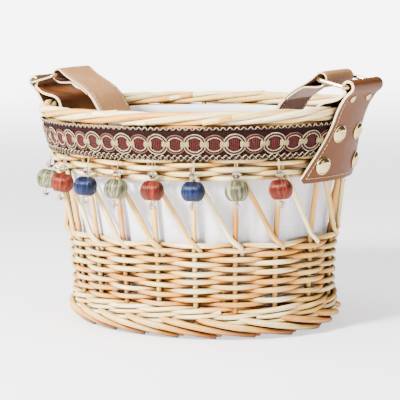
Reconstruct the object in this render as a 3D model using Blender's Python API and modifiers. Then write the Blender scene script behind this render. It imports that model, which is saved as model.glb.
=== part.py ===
# Lined oval wicker basket with a leather strap handle, gimp braid and hanging beads.
# Metres, +Z up. Origin: centre of the foot, on the surface that the basket stands on.
# +X runs along the long axis, toward one handle end. -Y is the front.
import bpy
import bmesh
import math
from mathutils import Vector, Matrix

# ---------------------------------------------------------------- dimensions
A_FOOT, B_FOOT = 0.1135, 0.0850      # semi-axes of the wall's centre line at the foot
A_RIM, B_RIM = 0.1412, 0.1058        # and at the rim
H_WALL = 0.1830                      # nominal wall height
FLARE = 2.2                          # exponent: nearly upright low down, flared at the top
N_SEG = 44                           # facets round the oval
GAP = 0.0004                         # clearance between touching pieces

Z_FOOT_TOP = 0.0130
Z_LOWER_TOP = 0.0762                 # top of the closed lower weave
Z_UPPER_FOOT = 0.1274                # foot of the upper woven band
Z_UPPER_TOP = 0.1707
Z_BORDER = 0.1770                    # centre of the rolled rim border
R_BORDER = 0.0062
WALL_T = 0.0060
N_STAKES = 20
STAKE_SHIFT = 0.0169                 # the first stake stands this far past the middle of the front
ROD_W = 0.0046                       # width of a willow rod
LINING_T = 0.0012
BRAID_Z0, BRAID_Z1 = 0.1437, 0.1707
BRAID_T = 0.0024

STRAP_W = 0.0430
LEATHER_T = 0.0016
STRAP_T = 0.0032
PATCH_T = 0.0020
PATCH_W = 0.0475
WIRE_R = 0.0016                      # ring wire
RING_DEPTH = 0.0260                  # between the ring's two bars
RING_WIDTH = 0.0535                  # between the ring's two sides
RING_TILT = math.radians(13.0)
TUBE_DX, TUBE_DZ, TUBE_R = 0.01638, 0.0206, 0.0046   # patch fold round the ring bar, from the border
LOOP_R = 0.0050                      # strap fold round the ring's inner bar
# strap links: length and slope toward the middle, measured on the left half
S1_LEN, S1_ANG = 0.0400, math.radians(-40.0)
S2_LEN, S2_ANG = 0.0280, math.radians(-48.0)
S3_LEN, S3_ANG = 0.0260, math.radians(-26.0)
LAP = 0.0080                         # the two middle leaves lap past the centre by this

N_DROPS = 23                         # even pitch round the braid; the patches cover some of them
DROP_OFF = 0.0072
DROP_TILT = math.radians(11.0)
BALL_R = 0.0093

# ---------------------------------------------------------------- scene
for ob in list(bpy.data.objects):
    bpy.data.objects.remove(ob, do_unlink=True)
parts = bpy.data.collections.new("wicker_basket")
bpy.context.scene.collection.children.link(parts)


def material(name, rgb, rough, metal=0.0, transmission=0.0):
    m = bpy.data.materials.new(name)
    m.use_nodes = True
    p = m.node_tree.nodes["Principled BSDF"]
    p.inputs["Base Color"].default_value = (*rgb, 1.0)
    p.inputs["Roughness"].default_value = rough
    p.inputs["Metallic"].default_value = metal
    p.inputs["Transmission Weight"].default_value = transmission
    return m


WILLOW = (0.80, 0.58, 0.33)
BURGUNDY = (0.24, 0.05, 0.05)
CAMEL = (0.45, 0.27, 0.17)
BALLS = {"green": (0.52, 0.53, 0.33), "red": (0.60, 0.11, 0.05), "navy": (0.02, 0.05, 0.22)}


def finish(ob, mat, parent=None):
    parts.objects.link(ob)
    ob.data.materials.clear()
    ob.data.materials.append(mat)
    if parent is not None:
        ob.parent = parent
        ob.matrix_parent_inverse = parent.matrix_world.inverted()
    return ob


def mesh_object(name, bm, mat, parent=None, smooth=True, origin=None):
    """Make an object of a bmesh given in world space, with its origin where asked."""
    bmesh.ops.recalc_face_normals(bm, faces=bm.faces)
    if all(e.is_manifold for e in bm.edges) and bm.calc_volume(signed=True) < 0:
        bmesh.ops.reverse_faces(bm, faces=bm.faces)
    if origin is not None:
        bmesh.ops.translate(bm, verts=bm.verts, vec=-Vector(origin))
    me = bpy.data.meshes.new(name)
    bm.to_mesh(me)
    bm.free()
    if smooth:
        me.shade_smooth()
        me.set_sharp_from_angle(angle=math.radians(40))
    ob = bpy.data.objects.new(name, me)
    if origin is not None:
        ob.location = origin
        bpy.context.view_layer.update()
    finish(ob, mat)
    bpy.context.view_layer.update()
    if parent is not None:
        ob.parent = parent
        ob.matrix_parent_inverse = parent.matrix_world.inverted()
    return ob


def solidify(ob, thickness, offset):
    m = ob.modifiers.new("thickness", 'SOLIDIFY')
    m.thickness = thickness
    m.offset = offset
    m.use_even_offset = True
    m.use_rim = True
    return m


# ---------------------------------------------------------------- the oval
def wall(phi, z, off=0.0):
    t = z / H_WALL
    g = max(t, 0.0) ** FLARE
    a = A_FOOT + (A_RIM - A_FOOT) * g + off
    b = B_FOOT + (B_RIM - B_FOOT) * g + off
    return Vector((a * math.cos(phi), b * math.sin(phi), z))


def semi_axis(z):
    return A_FOOT + (A_RIM - A_FOOT) * (z / H_WALL) ** FLARE


def wall_normal(phi, z):
    e = 1e-4
    du = wall(phi + e, z) - wall(phi - e, z)
    dv = wall(phi, z + e) - wall(phi, z - e)
    return du.cross(dv).normalized()


def even_angles(n, z, start=-math.pi / 2, shift=0.0):
    """Angles at an even pitch along the oval at height z, the first one shift metres past start."""
    steps = 4000
    acc = [0.0]
    last = wall(start, z)
    for i in range(1, steps + 1):
        p = wall(start + 2 * math.pi * i / steps, z)
        acc.append(acc[-1] + (p - last).length)
        last = p
    total = acc[-1]
    out = []
    for k in range(n):
        s = (k * total / n + shift) % total
        lo, hi = 0, steps
        while hi - lo > 1:
            mid = (lo + hi) // 2
            if acc[mid] <= s:
                lo = mid
            else:
                hi = mid
        f = (s - acc[lo]) / (acc[hi] - acc[lo])
        out.append(start + 2 * math.pi * (lo + f) / steps)
    return out


SEG_ANGLES = even_angles(N_SEG, 0.1)


def oval_surface(levels, cap_bottom=False):
    """An open surface: an oval edge loop extruded up through (z, offset) levels."""
    bm = bmesh.new()
    made = bmesh.ops.create_circle(bm, cap_ends=cap_bottom, radius=1.0, segments=N_SEG)
    ring = sorted(made["verts"], key=lambda v: math.atan2(v.co.y, v.co.x) % (2 * math.pi))
    order = sorted(a % (2 * math.pi) for a in SEG_ANGLES)
    for v, a in zip(ring, order):
        v.co = wall(a, *levels[0])
    ang = {v: a for v, a in zip(ring, order)}
    edges = [e for e in bm.edges]
    for lv in levels[1:]:
        ext = bmesh.ops.extrude_edge_only(bm, edges=edges)
        new = [g for g in ext["geom"] if isinstance(g, bmesh.types.BMVert)]
        edges = [g for g in ext["geom"] if isinstance(g, bmesh.types.BMEdge)
                 and g.verts[0] in new and g.verts[1] in new]
        nxt = {}
        for v in new:
            prev = [e.other_vert(v) for e in v.link_edges if e.other_vert(v) in ang][0]
            nxt[v] = ang[prev]
        for v, a in nxt.items():
            v.co = wall(a, *lv)
        ang = nxt
    return bm


def band(name, z0, z1, off, thickness, mat, rows=3):
    bm = oval_surface([(z0 + (z1 - z0) * i / rows, off) for i in range(rows + 1)])
    ob = mesh_object(name, bm, mat)
    solidify(ob, thickness, 0.0)
    return ob


willow = material("willow", WILLOW, 0.55)
willow_dark = material("willow_base", (0.62, 0.42, 0.22), 0.6)
linen = material("linen", (0.82, 0.80, 0.78), 0.9)
gimp = material("gimp_braid", BURGUNDY, 0.8)
camel = material("camel_leather", CAMEL, 0.45)
brass = material("pale_brass", (0.80, 0.66, 0.42), 0.25, 1.0)
steel = material("ring_metal", (0.72, 0.62, 0.45), 0.3, 1.0)

# ---------------------------------------------------------------- woven body
# foot border: a flat-bottomed ring that the basket stands on
upright = semi_axis(Z_FOOT_TOP) - A_FOOT
bm = oval_surface([(0.0, 0.0), (Z_FOOT_TOP, -upright)])
foot = mesh_object("foot_border", bm, willow)
solidify(foot, 0.0100, 0.0)

# base panel inside the foot border
bm = bmesh.new()
bmesh.ops.create_circle(bm, cap_ends=True, radius=1.0, segments=N_SEG)
for v in bm.verts:
    a = math.atan2(v.co.y, v.co.x)
    p = wall(a, 0.006, -0.0050 - 0.0007)
    v.co = (p.x, p.y, 0.0060)
base = mesh_object("base_panel", bm, willow_dark)
solidify(base, 0.0050, 0.0)

band("lower_weave", Z_FOOT_TOP + GAP, Z_LOWER_TOP, 0.0, WALL_T, willow)
band("upper_weave", Z_UPPER_FOOT + GAP, Z_UPPER_TOP, 0.0, WALL_T, willow)


# lattice: upright stakes and slanting rods between two rails, one open net with thickness
def lattice():
    bm = bmesh.new()
    stakes = even_angles(N_STAKES, 0.11, shift=STAKE_SHIFT)
    z_lo, z_hi = Z_LOWER_TOP + GAP, Z_UPPER_FOOT
    rail = 0.0040
    levels = [z_lo, z_lo + rail] + [z_lo + rail + (z_hi - z_lo - 2 * rail) * i / 3 for i in (1, 2)] \
        + [z_hi - rail, z_hi]
    half = 0.5 * ROD_W
    cache = {}

    def vert(u, z):
        key = (round(u * 1e5) % int(round(2 * math.pi * 1e5)), round(z * 1e6))
        if key not in cache:
            cache[key] = bm.verts.new(wall(u, z))
        return cache[key]

    def quad(u0, u1, v0, v1, za, zb):
        vs = [vert(u0, za), vert(u1, za), vert(v1, zb), vert(v0, zb)]
        bm.faces.new(vs)

    for i in range(N_STAKES):
        u = stakes[i]
        n = stakes[(i + 1) % N_STAKES]
        if n < u:
            n += 2 * math.pi
        r = (wall(u + 0.01, 0.11) - wall(u, 0.11)).length / 0.01
        rn = (wall(n + 0.01, 0.11) - wall(n, 0.11)).length / 0.01
        w, wn = half / r, half / rn
        cols = [u - w, u + w, u + 3 * w, n - 3 * wn, n - wn]
        for za, zb in ((levels[0], levels[1]), (levels[4], levels[5])):
            for a, b in zip(cols[:-1], cols[1:]):
                quad(a, b, a, b, za, zb)
        for k in range(1, 4):
            za, zb = levels[k], levels[k + 1]
            quad(cols[0], cols[1], cols[0], cols[1], za, zb)
            fa, fb = (k - 1) / 3.0, k / 3.0
            a0, a1 = cols[3] + (cols[1] - cols[3]) * fa, cols[4] + (cols[2] - cols[4]) * fa
            b0, b1 = cols[3] + (cols[1] - cols[3]) * fb, cols[4] + (cols[2] - cols[4]) * fb
            quad(a0, a1, b0, b1, za, zb)
    ob = mesh_object("stake_lattice", bm, willow, smooth=False)
    solidify(ob, 0.0044, 0.0)
    return ob


lattice()


def tube(name, points, radius, mat, cyclic=False, res=2, parent=None):
    cu = bpy.data.curves.new(name, 'CURVE')
    cu.dimensions = '3D'
    cu.bevel_depth = radius
    cu.bevel_resolution = res
    cu.use_fill_caps = not cyclic
    sp = cu.splines.new('POLY')
    sp.points.add(len(points) - 1)
    for p, q in zip(sp.points, points):
        p.co = (*q, 1.0)
    sp.use_cyclic_u = cyclic
    ob = bpy.data.objects.new(name, cu)
    finish(ob, mat, parent)
    return ob


tube("top_border", [wall(a, Z_BORDER) for a in SEG_ANGLES], R_BORDER, willow, cyclic=True)

# lining: a fabric bag inside the basket, open at the top, its edge under the border
lv = [(0.0098, -0.0140), (0.0130, -0.0072), (0.05, -0.0050), (0.09, -0.0050), (0.1280, -0.0050), (0.1687, -0.0050)]
bm = oval_surface(lv, cap_bottom=True)
for v in bm.verts:
    if v.co.z < 0.0105:
        v.co.z = 0.0098
lining = mesh_object("lining", bm, linen)
solidify(lining, LINING_T, -1.0)
mod = lining.modifiers["thickness"]
mod.use_even_offset = False

# gimp braid round the upper band
band("braid_trim", BRAID_Z0, BRAID_Z1, WALL_T / 2 + GAP + BRAID_T / 2 + 0.0002, BRAID_T, gimp, rows=2)

# ---------------------------------------------------------------- handle ends
def near_border(dx, dz, half=0.0, wrap=0.0):
    """A point given from the border's centre, as the oval's offset and height."""
    z = Z_BORDER + dz
    return (dx - semi_axis(z) + semi_axis(Z_BORDER), z, half, wrap)


_tube = near_border(TUBE_DX, TUBE_DZ)
TUBE = wall(0.0, _tube[1], _tube[0])      # axis of the right ring's outer bar


def side_sign(side):
    return 1.0 if side == "right" else -1.0


def mirror_x(p, s):
    return Vector((s * p[0], p[1], p[2]))


def strip(path_fn, n_v, n_u, name, mat, thickness, parent=None, origin=None, flip=False):
    """A leather strip: a grid carried along a path, then given its thickness."""
    bm = bmesh.new()
    bmesh.ops.create_grid(bm, x_segments=n_u, y_segments=n_v, size=1.0)
    for v in bm.verts:
        v.co = path_fn((v.co.y + 1.0) / 2.0, v.co.x)
    if flip:
        bmesh.ops.reverse_faces(bm, faces=bm.faces)
    if origin is not None:
        bmesh.ops.translate(bm, verts=bm.verts, vec=-Vector(origin))
    me = bpy.data.meshes.new(name)
    bm.to_mesh(me)
    bm.free()
    me.shade_smooth()
    me.set_sharp_from_angle(angle=math.radians(40))
    ob = bpy.data.objects.new(name, me)
    if origin is not None:
        ob.location = origin
    finish(ob, mat)
    bpy.context.view_layer.update()
    if parent is not None:
        ob.parent = parent
        ob.matrix_parent_inverse = parent.matrix_world.inverted()
    solidify(ob, thickness, 0.0)
    return ob


def polyline(points):
    """Return f(t) along a polyline given as tuples, by arc length of the first two numbers."""
    acc = [0.0]
    for p, q in zip(points[:-1], points[1:]):
        acc.append(acc[-1] + math.hypot(q[0] - p[0], q[1] - p[1]))

    def at(t):
        s = t * acc[-1]
        for i in range(len(points) - 1):
            if s <= acc[i + 1] + 1e-12:
                f = (s - acc[i]) / max(acc[i + 1] - acc[i], 1e-9)
                return [a + (b - a) * f for a, b in zip(points[i], points[i + 1])]
        return list(points[-1])
    return at


def patch_profile():
    """Offset, height, half width and wrap of the patch, from its lower outer edge over the
    ring bar and down inside the rim."""
    h = PATCH_W / 2
    pts = [(0.0080, 0.1235, 0.0430, 1.0), (0.0080, 0.1360, 0.0372, 1.0), (0.0080, 0.1483, 0.0308, 1.0),
           (0.0081, 0.1600, 0.0258, 1.0), (0.0085, 0.1690, h, 1.0),
           near_border(0.0094, 0.0020, h, 0.8), near_border(0.0118, 0.0085, h, 0.35),
           near_border(0.0150, 0.0142, h, 0.0)]
    for k in range(9):
        a = math.radians(-62 + 304 * k / 8)
        pts.append(near_border(TUBE_DX + TUBE_R * math.cos(a), TUBE_DZ + TUBE_R * math.sin(a), h, 0.0))
    pts += [near_border(0.0124, 0.0152, h, 0.0), near_border(0.0080, 0.0112, h, 0.2),
            near_border(0.0030, 0.0096, h, 0.6), near_border(-0.0034, 0.0084, h, 0.9),
            near_border(-0.0078, 0.0042, h, 1.0), near_border(-0.0090, -0.0020, h, 1.0),
            (-0.0090, 0.1670, h, 1.0), (-0.0090, 0.1580, h, 1.0)]
    return pts


def patch(side):
    s = side_sign(side)
    at = polyline(patch_profile())

    def place(t, x):
        off, z, half, wrap = at(t)
        y = half * x
        flat = wall(0.0, z, off)
        phi = math.asin(max(-1.0, min(1.0, y / (B_FOOT + (B_RIM - B_FOOT) * (z / H_WALL) ** FLARE + off))))
        bent = wall(phi, z, off)
        p = Vector((flat.x, y, flat.z)).lerp(Vector((bent.x, y, bent.z)), wrap)
        return mirror_x(p, s)
    return strip(place, 30, 8, "leather_patch_" + side, camel, PATCH_T, flip=(s < 0))


for side in ("left", "right"):
    patch(side)


def turned(name, profile, base_point, axis, steps, mat, parent=None):
    """A turned piece: a profile of (radius, height) screwed about its own axis, base at base_point."""
    bm = bmesh.new()
    vs = [bm.verts.new((max(r, 0.0), 0.0, h)) for r, h in profile]
    for a, b in zip(vs[:-1], vs[1:]):
        bm.edges.new((a, b))
    me = bpy.data.meshes.new(name)
    bm.to_mesh(me)
    bm.free()
    ob = bpy.data.objects.new(name, me)
    finish(ob, mat)
    ob.location = base_point
    ob.rotation_mode = 'QUATERNION'
    ob.rotation_quaternion = Vector((0, 0, 1)).rotation_difference(Vector(axis))
    m = ob.modifiers.new("turn", 'SCREW')
    m.steps = steps
    m.render_steps = steps
    m.use_merge_vertices = True
    m.merge_threshold = 0.00001
    m.use_smooth_shade = True
    bpy.context.view_layer.update()
    if parent is not None:
        ob.parent = parent
        ob.matrix_parent_inverse = parent.matrix_world.inverted()
    return ob


# dome studs through the patch, and two flat rivets under the fold
DOME = [(0.0, 0.0032), (0.0030, 0.0029), (0.0055, 0.0019), (0.0068, 0.0008), (0.0072, 0.0), (0.0, 0.0)]
FLAT_HEAD = [(0.0, 0.0011), (0.0026, 0.0010), (0.0032, 0.0004), (0.0032, 0.0), (0.0, 0.0)]
STUDS = (("upper_front", -0.0140, 0.1610), ("upper_back", 0.0140, 0.1610),
         ("lower_front", -0.0245, 0.1365), ("lower_back", 0.0245, 0.1365))
for side in ("left", "right"):
    s = side_sign(side)
    for label, y, z in STUDS:
        phi = math.asin(y / (wall(math.pi / 2, z).y + 0.0072))
        n = wall_normal(phi, z)
        p = wall(phi, z, 0.0081) + n * (PATCH_T / 2 + 0.0006)
        turned("stud_%s_%s" % (side, label), DOME, mirror_x(p, s), mirror_x(n, s), 14, brass)
    for label, y in (("front", -0.0125), ("back", 0.0125)):
        lo_pt, hi_pt = near_border(0.0118, 0.0085), near_border(0.0150, 0.0142)
        a, b = wall(0.0, lo_pt[1], lo_pt[0]), wall(0.0, hi_pt[1], hi_pt[0])
        mid = (a + b) / 2
        d = (b - a).normalized()
        n = Vector((d.z, 0.0, -d.x))
        p = mid + n * (PATCH_T / 2 + 0.0006)
        p.y = y
        turned("fold_rivet_%s_%s" % (side, label), FLAT_HEAD, mirror_x(p, s), mirror_x(n, s), 10, brass)


# ---------------------------------------------------------------- rings
def empty(name, location):
    e = bpy.data.objects.new(name, None)
    e.empty_display_size = 0.01
    e.location = location
    parts.objects.link(e)
    bpy.context.view_layer.update()
    return e


def ring_points(s):
    """Rounded rectangle of wire; the outer bar is on the patch's fold axis."""
    d = Vector((-math.cos(RING_TILT), 0.0, math.sin(RING_TILT)))
    r = 0.0035
    hw = RING_WIDTH / 2
    pts = []
    for cx, cy, a0 in ((r, -hw + r, 180), (RING_DEPTH - r, -hw + r, 270),
                       (RING_DEPTH - r, hw - r, 0), (r, hw - r, 90)):
        for k in range(4):
            a = math.radians(a0 + 30 * k)
            pts.append((cx + r * math.cos(a), cy + r * math.sin(a)))
    out = []
    for u, y in pts:
        p = TUBE + d * u
        out.append(mirror_x(Vector((p.x, y, p.z)), s))
    return out


BAR = TUBE + Vector((-math.cos(RING_TILT), 0.0, math.sin(RING_TILT))) * RING_DEPTH
pivots = {}
for side in ("left", "right"):
    s = side_sign(side)
    pivots["ring_" + side] = empty("pivot_ring_" + side, mirror_x(TUBE, s))
    tube("ring_" + side, ring_points(s), WIRE_R, steel, cyclic=True, res=2, parent=pivots["ring_" + side])


# ---------------------------------------------------------------- strap, in the X-Z plane of the left half
def strap_joints():
    """Left half: origin of each link's path and the hinge points on the strap's lower face."""
    d1 = Vector((math.cos(S1_ANG), 0, math.sin(S1_ANG)))
    n1 = Vector((-d1.z, 0, d1.x))
    bar = Vector((-BAR.x, 0.0, BAR.z))
    low = LOOP_R + LEATHER_T / 2 - STRAP_T           # lower face of the full strap, from the bar's axis
    h12 = bar + d1 * S1_LEN + n1 * low
    d2 = Vector((math.cos(S2_ANG), 0, math.sin(S2_ANG)))
    h23 = h12 + d2 * S2_LEN
    d3 = Vector((math.cos(S3_ANG), 0, math.sin(S3_ANG)))
    h34 = h23 + d3 * S3_LEN
    return bar, d1, n1, h12, d2, h23, d3, h34


bar, d1, n1, h12, d2, h23, d3, h34 = strap_joints()


def strap_end(side):
    """End link: the main leaf, the fold round the ring bar and the return flap under it."""
    s = side_sign(side)
    pts = [(S1_LEN - 0.0003, LOOP_R), (0.0, LOOP_R)]
    for k in range(1, 8):
        a = math.radians(90 + 180 * k / 8)
        pts.append((LOOP_R * math.cos(a), LOOP_R * math.sin(a)))
    under = LOOP_R - LEATHER_T - 0.0006
    pts += [(0.0, -LOOP_R), (0.0050, -0.0040), (0.0100, -0.0008), (0.0150, under - 0.0004), (0.0190, under),
            (0.0340, under)]
    at = polyline(pts)

    def place(t, x):
        u, n = at(t)
        p = bar + d1 * u + n1 * n
        return mirror_x(Vector((p.x, x * STRAP_W / 2, p.z)), -s)
    piv = empty("pivot_strap_end_" + side, mirror_x(bar, -s))
    piv.parent = pivots["ring_" + side]
    piv.matrix_parent_inverse = pivots["ring_" + side].matrix_world.inverted()
    bpy.context.view_layer.update()
    pivots["strap_end_" + side] = piv
    return strip(place, 26, 2, "strap_end_" + side, camel, LEATHER_T, parent=piv, flip=(s > 0))


def strap_plate(name, side, start, direction, length, lo, hi, parent, cut=0.0003, tail=0.0, mitre=(0.0, 0.0)):
    """A flat link between two hinges, its lower face a height lo above the hinge line. Where the
    strap lies hollow at rest, the ends are mitred so that they meet flush."""
    s = side_sign(side)
    nrm = Vector((-direction.z, 0, direction.x))
    bm = bmesh.new()
    bmesh.ops.create_cube(bm, size=1.0)
    for v in bm.verts:
        n = lo if v.co.z < 0 else hi
        u = cut + n * math.tan(mitre[0]) if v.co.x < 0 else length - cut + tail - n * math.tan(mitre[1])
        p = start + direction * u + nrm * n
        v.co = mirror_x(Vector((p.x, v.co.y * STRAP_W, p.z)), -s)
    return mesh_object(name, bm, camel, parent=parent, smooth=False)


for side in ("left", "right"):
    s = side_sign(side)
    strap_end(side)
    m23, m34 = (S3_ANG - S2_ANG) / 2, -S3_ANG / 2
    chain = (("strap_shoulder_", h12, d2, S2_LEN, 0.0, STRAP_T, 0.0, (0.0, m23)),
             ("strap_slope_", h23, d3, S3_LEN, 0.0, STRAP_T, 0.0, (m23, m34)),
             ("strap_middle_", h34, Vector((1, 0, 0)), -h34.x,
              STRAP_T / 2 + 0.00015 if side == "left" else 0.0,
              STRAP_T if side == "left" else STRAP_T / 2 - 0.00015, LAP, (m34, 0.0)))
    parent = pivots["strap_end_" + side]
    for name, start, direction, length, lo, hi, tail, mitre in chain:
        piv = empty("pivot_" + name + side, mirror_x(start, -s))
        piv.parent = parent
        piv.matrix_parent_inverse = parent.matrix_world.inverted()
        bpy.context.view_layer.update()
        strap_plate(name + side, side, start, direction, length, lo, hi, piv, tail=tail, mitre=mitre)
        parent = piv

# ---------------------------------------------------------------- hanging bead drops
DROP_ANGLES = even_angles(N_DROPS, 0.5 * (BRAID_Z0 + BRAID_Z1), shift=-0.006)
COLOURS = ("green", "red", "navy")
PAST_PATCH = 0.64                      # the row behind the right patch starts this far round


def drop_profile():
    """Radius and height: thread, glass bead, thread-wound ball, small glass bead."""
    pts = [(0.0, 0.0), (0.0006, 0.0), (0.0006, -0.0068)]
    for a in (50, 0, -50):
        pts.append((0.0034 * math.cos(math.radians(a)), -0.0100 + 0.0034 * math.sin(math.radians(a))))
    for a in (62, 28, -8, -40, -68):
        pts.append((BALL_R * math.cos(math.radians(a)), -0.0222 + 0.0086 * math.sin(math.radians(a))))
    for a in (45, -10, -60):
        pts.append((0.0030 * math.cos(math.radians(a)), -0.0336 + 0.0030 * math.sin(math.radians(a))))
    pts.append((0.0, -0.0366))
    return pts


silk = {k: material("silk_" + k, v, 0.35) for k, v in BALLS.items()}
kept = 0
for k, a in enumerate(DROP_ANGLES):
    half_patch = math.asin(0.0550 / (B_RIM + DROP_OFF))
    if abs(math.sin(a)) < math.sin(half_patch) or (math.cos(a) > 0.0 and 0.0 < math.sin(a) < PAST_PATCH):
        continue
    kept += 1
    top = wall(a, BRAID_Z0 - 0.0006, DROP_OFF)
    out = Vector((math.cos(a) * B_RIM, math.sin(a) * A_RIM, 0.0)).normalized()
    up = (Vector((0, 0, 1)) * math.cos(DROP_TILT) - out * math.sin(DROP_TILT)).normalized()
    turned("bead_drop_%02d" % kept, drop_profile(), top, up, 10, silk[COLOURS[(k if k < N_DROPS // 2 else k - N_DROPS) % 3]])
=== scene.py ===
# Looks of the lined wicker basket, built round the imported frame. Metres, +Z up.
import bpy, bmesh, math, random
import numpy as np
from mathutils import Vector, Matrix, noise


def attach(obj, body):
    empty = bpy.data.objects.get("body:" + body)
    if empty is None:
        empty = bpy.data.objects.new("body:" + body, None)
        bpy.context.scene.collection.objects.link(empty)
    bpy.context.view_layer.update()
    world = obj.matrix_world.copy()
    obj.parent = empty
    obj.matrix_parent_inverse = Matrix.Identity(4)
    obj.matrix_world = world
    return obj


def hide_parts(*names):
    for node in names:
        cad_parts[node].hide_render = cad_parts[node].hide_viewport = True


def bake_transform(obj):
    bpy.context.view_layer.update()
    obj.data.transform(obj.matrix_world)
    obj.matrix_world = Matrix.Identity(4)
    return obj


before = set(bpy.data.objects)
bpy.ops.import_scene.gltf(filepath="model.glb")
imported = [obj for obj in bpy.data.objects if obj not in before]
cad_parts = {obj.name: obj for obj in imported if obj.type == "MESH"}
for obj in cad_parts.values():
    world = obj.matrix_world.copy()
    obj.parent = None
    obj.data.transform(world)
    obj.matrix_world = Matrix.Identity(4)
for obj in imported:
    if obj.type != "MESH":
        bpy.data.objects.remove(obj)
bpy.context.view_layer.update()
RND = random.Random(7)

# ------------------------------------------------------------------ the design's dimensions
A_FOOT, B_FOOT, A_RIM, B_RIM = 0.1135, 0.0850, 0.1412, 0.1058
H_WALL, FLARE = 0.1830, 2.2
Z_LOWER_TOP, Z_UPPER_FOOT, Z_UPPER_TOP = 0.0762, 0.1274, 0.1707
Z_BORDER, R_BORDER = 0.1770, 0.0062
N_STAKES, STAKE_SHIFT = 20, 0.0169
BRAID_Z0, BRAID_Z1 = 0.1437, 0.1707
STRAP_W, STRAP_T, LEATHER_T = 0.0430, 0.0032, 0.0016
PATCH_T, PATCH_W = 0.0020, 0.0475
WIRE_R, RING_DEPTH, RING_WIDTH, RING_TILT = 0.0016, 0.0260, 0.0535, math.radians(13.0)
TUBE_DX, TUBE_DZ, TUBE_R, LOOP_R = 0.01638, 0.0206, 0.0046, 0.0050
S1_LEN, S1_ANG = 0.0400, math.radians(-40.0)
S2_LEN, S2_ANG = 0.0280, math.radians(-48.0)
S3_LEN, S3_ANG = 0.0260, math.radians(-26.0)
N_DROPS, DROP_OFF, DROP_TILT, BALL_R = 23, 0.0072, math.radians(11.0), 0.0093


def semi_axis(z):
    return A_FOOT + (A_RIM - A_FOOT) * (z / H_WALL) ** FLARE


def wall(phi, z, off=0.0):
    t = max(z, 0.0) / H_WALL
    g = t ** FLARE
    a = A_FOOT + (A_RIM - A_FOOT) * g + off
    b = B_FOOT + (B_RIM - B_FOOT) * g + off
    return Vector((a * math.cos(phi), b * math.sin(phi), z))


def wall_normal(phi, z):
    e = 1e-4
    return (wall(phi + e, z) - wall(phi - e, z)).cross(wall(phi, z + e) - wall(phi, z - e)).normalized()


def even_angles(n, z, start=-math.pi / 2, shift=0.0, steps=4000):
    acc = [0.0]
    last = wall(start, z)
    for i in range(1, steps + 1):
        p = wall(start + 2 * math.pi * i / steps, z)
        acc.append(acc[-1] + (p - last).length)
        last = p
    total = acc[-1]
    out = []
    for k in range(n):
        s = (k * total / n + shift) % total
        j = int(np.searchsorted(np.array(acc), s, side="right")) - 1
        out.append(start + 2 * math.pi * (j + (s - acc[j]) / (acc[j + 1] - acc[j])) / steps)
    return out


STAKES = even_angles(N_STAKES, 0.11, shift=STAKE_SHIFT)


def stake_phi(s):
    """Angle at stake coordinate s, where whole numbers are stakes."""
    k = math.floor(s)
    f = s - k
    turn, i = divmod(k, N_STAKES)
    a = STAKES[i] + 2 * math.pi * turn
    j = i + 1
    b = STAKES[j % N_STAKES] + 2 * math.pi * (turn + (1 if j == N_STAKES else 0))
    return a + (b - a) * f


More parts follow.
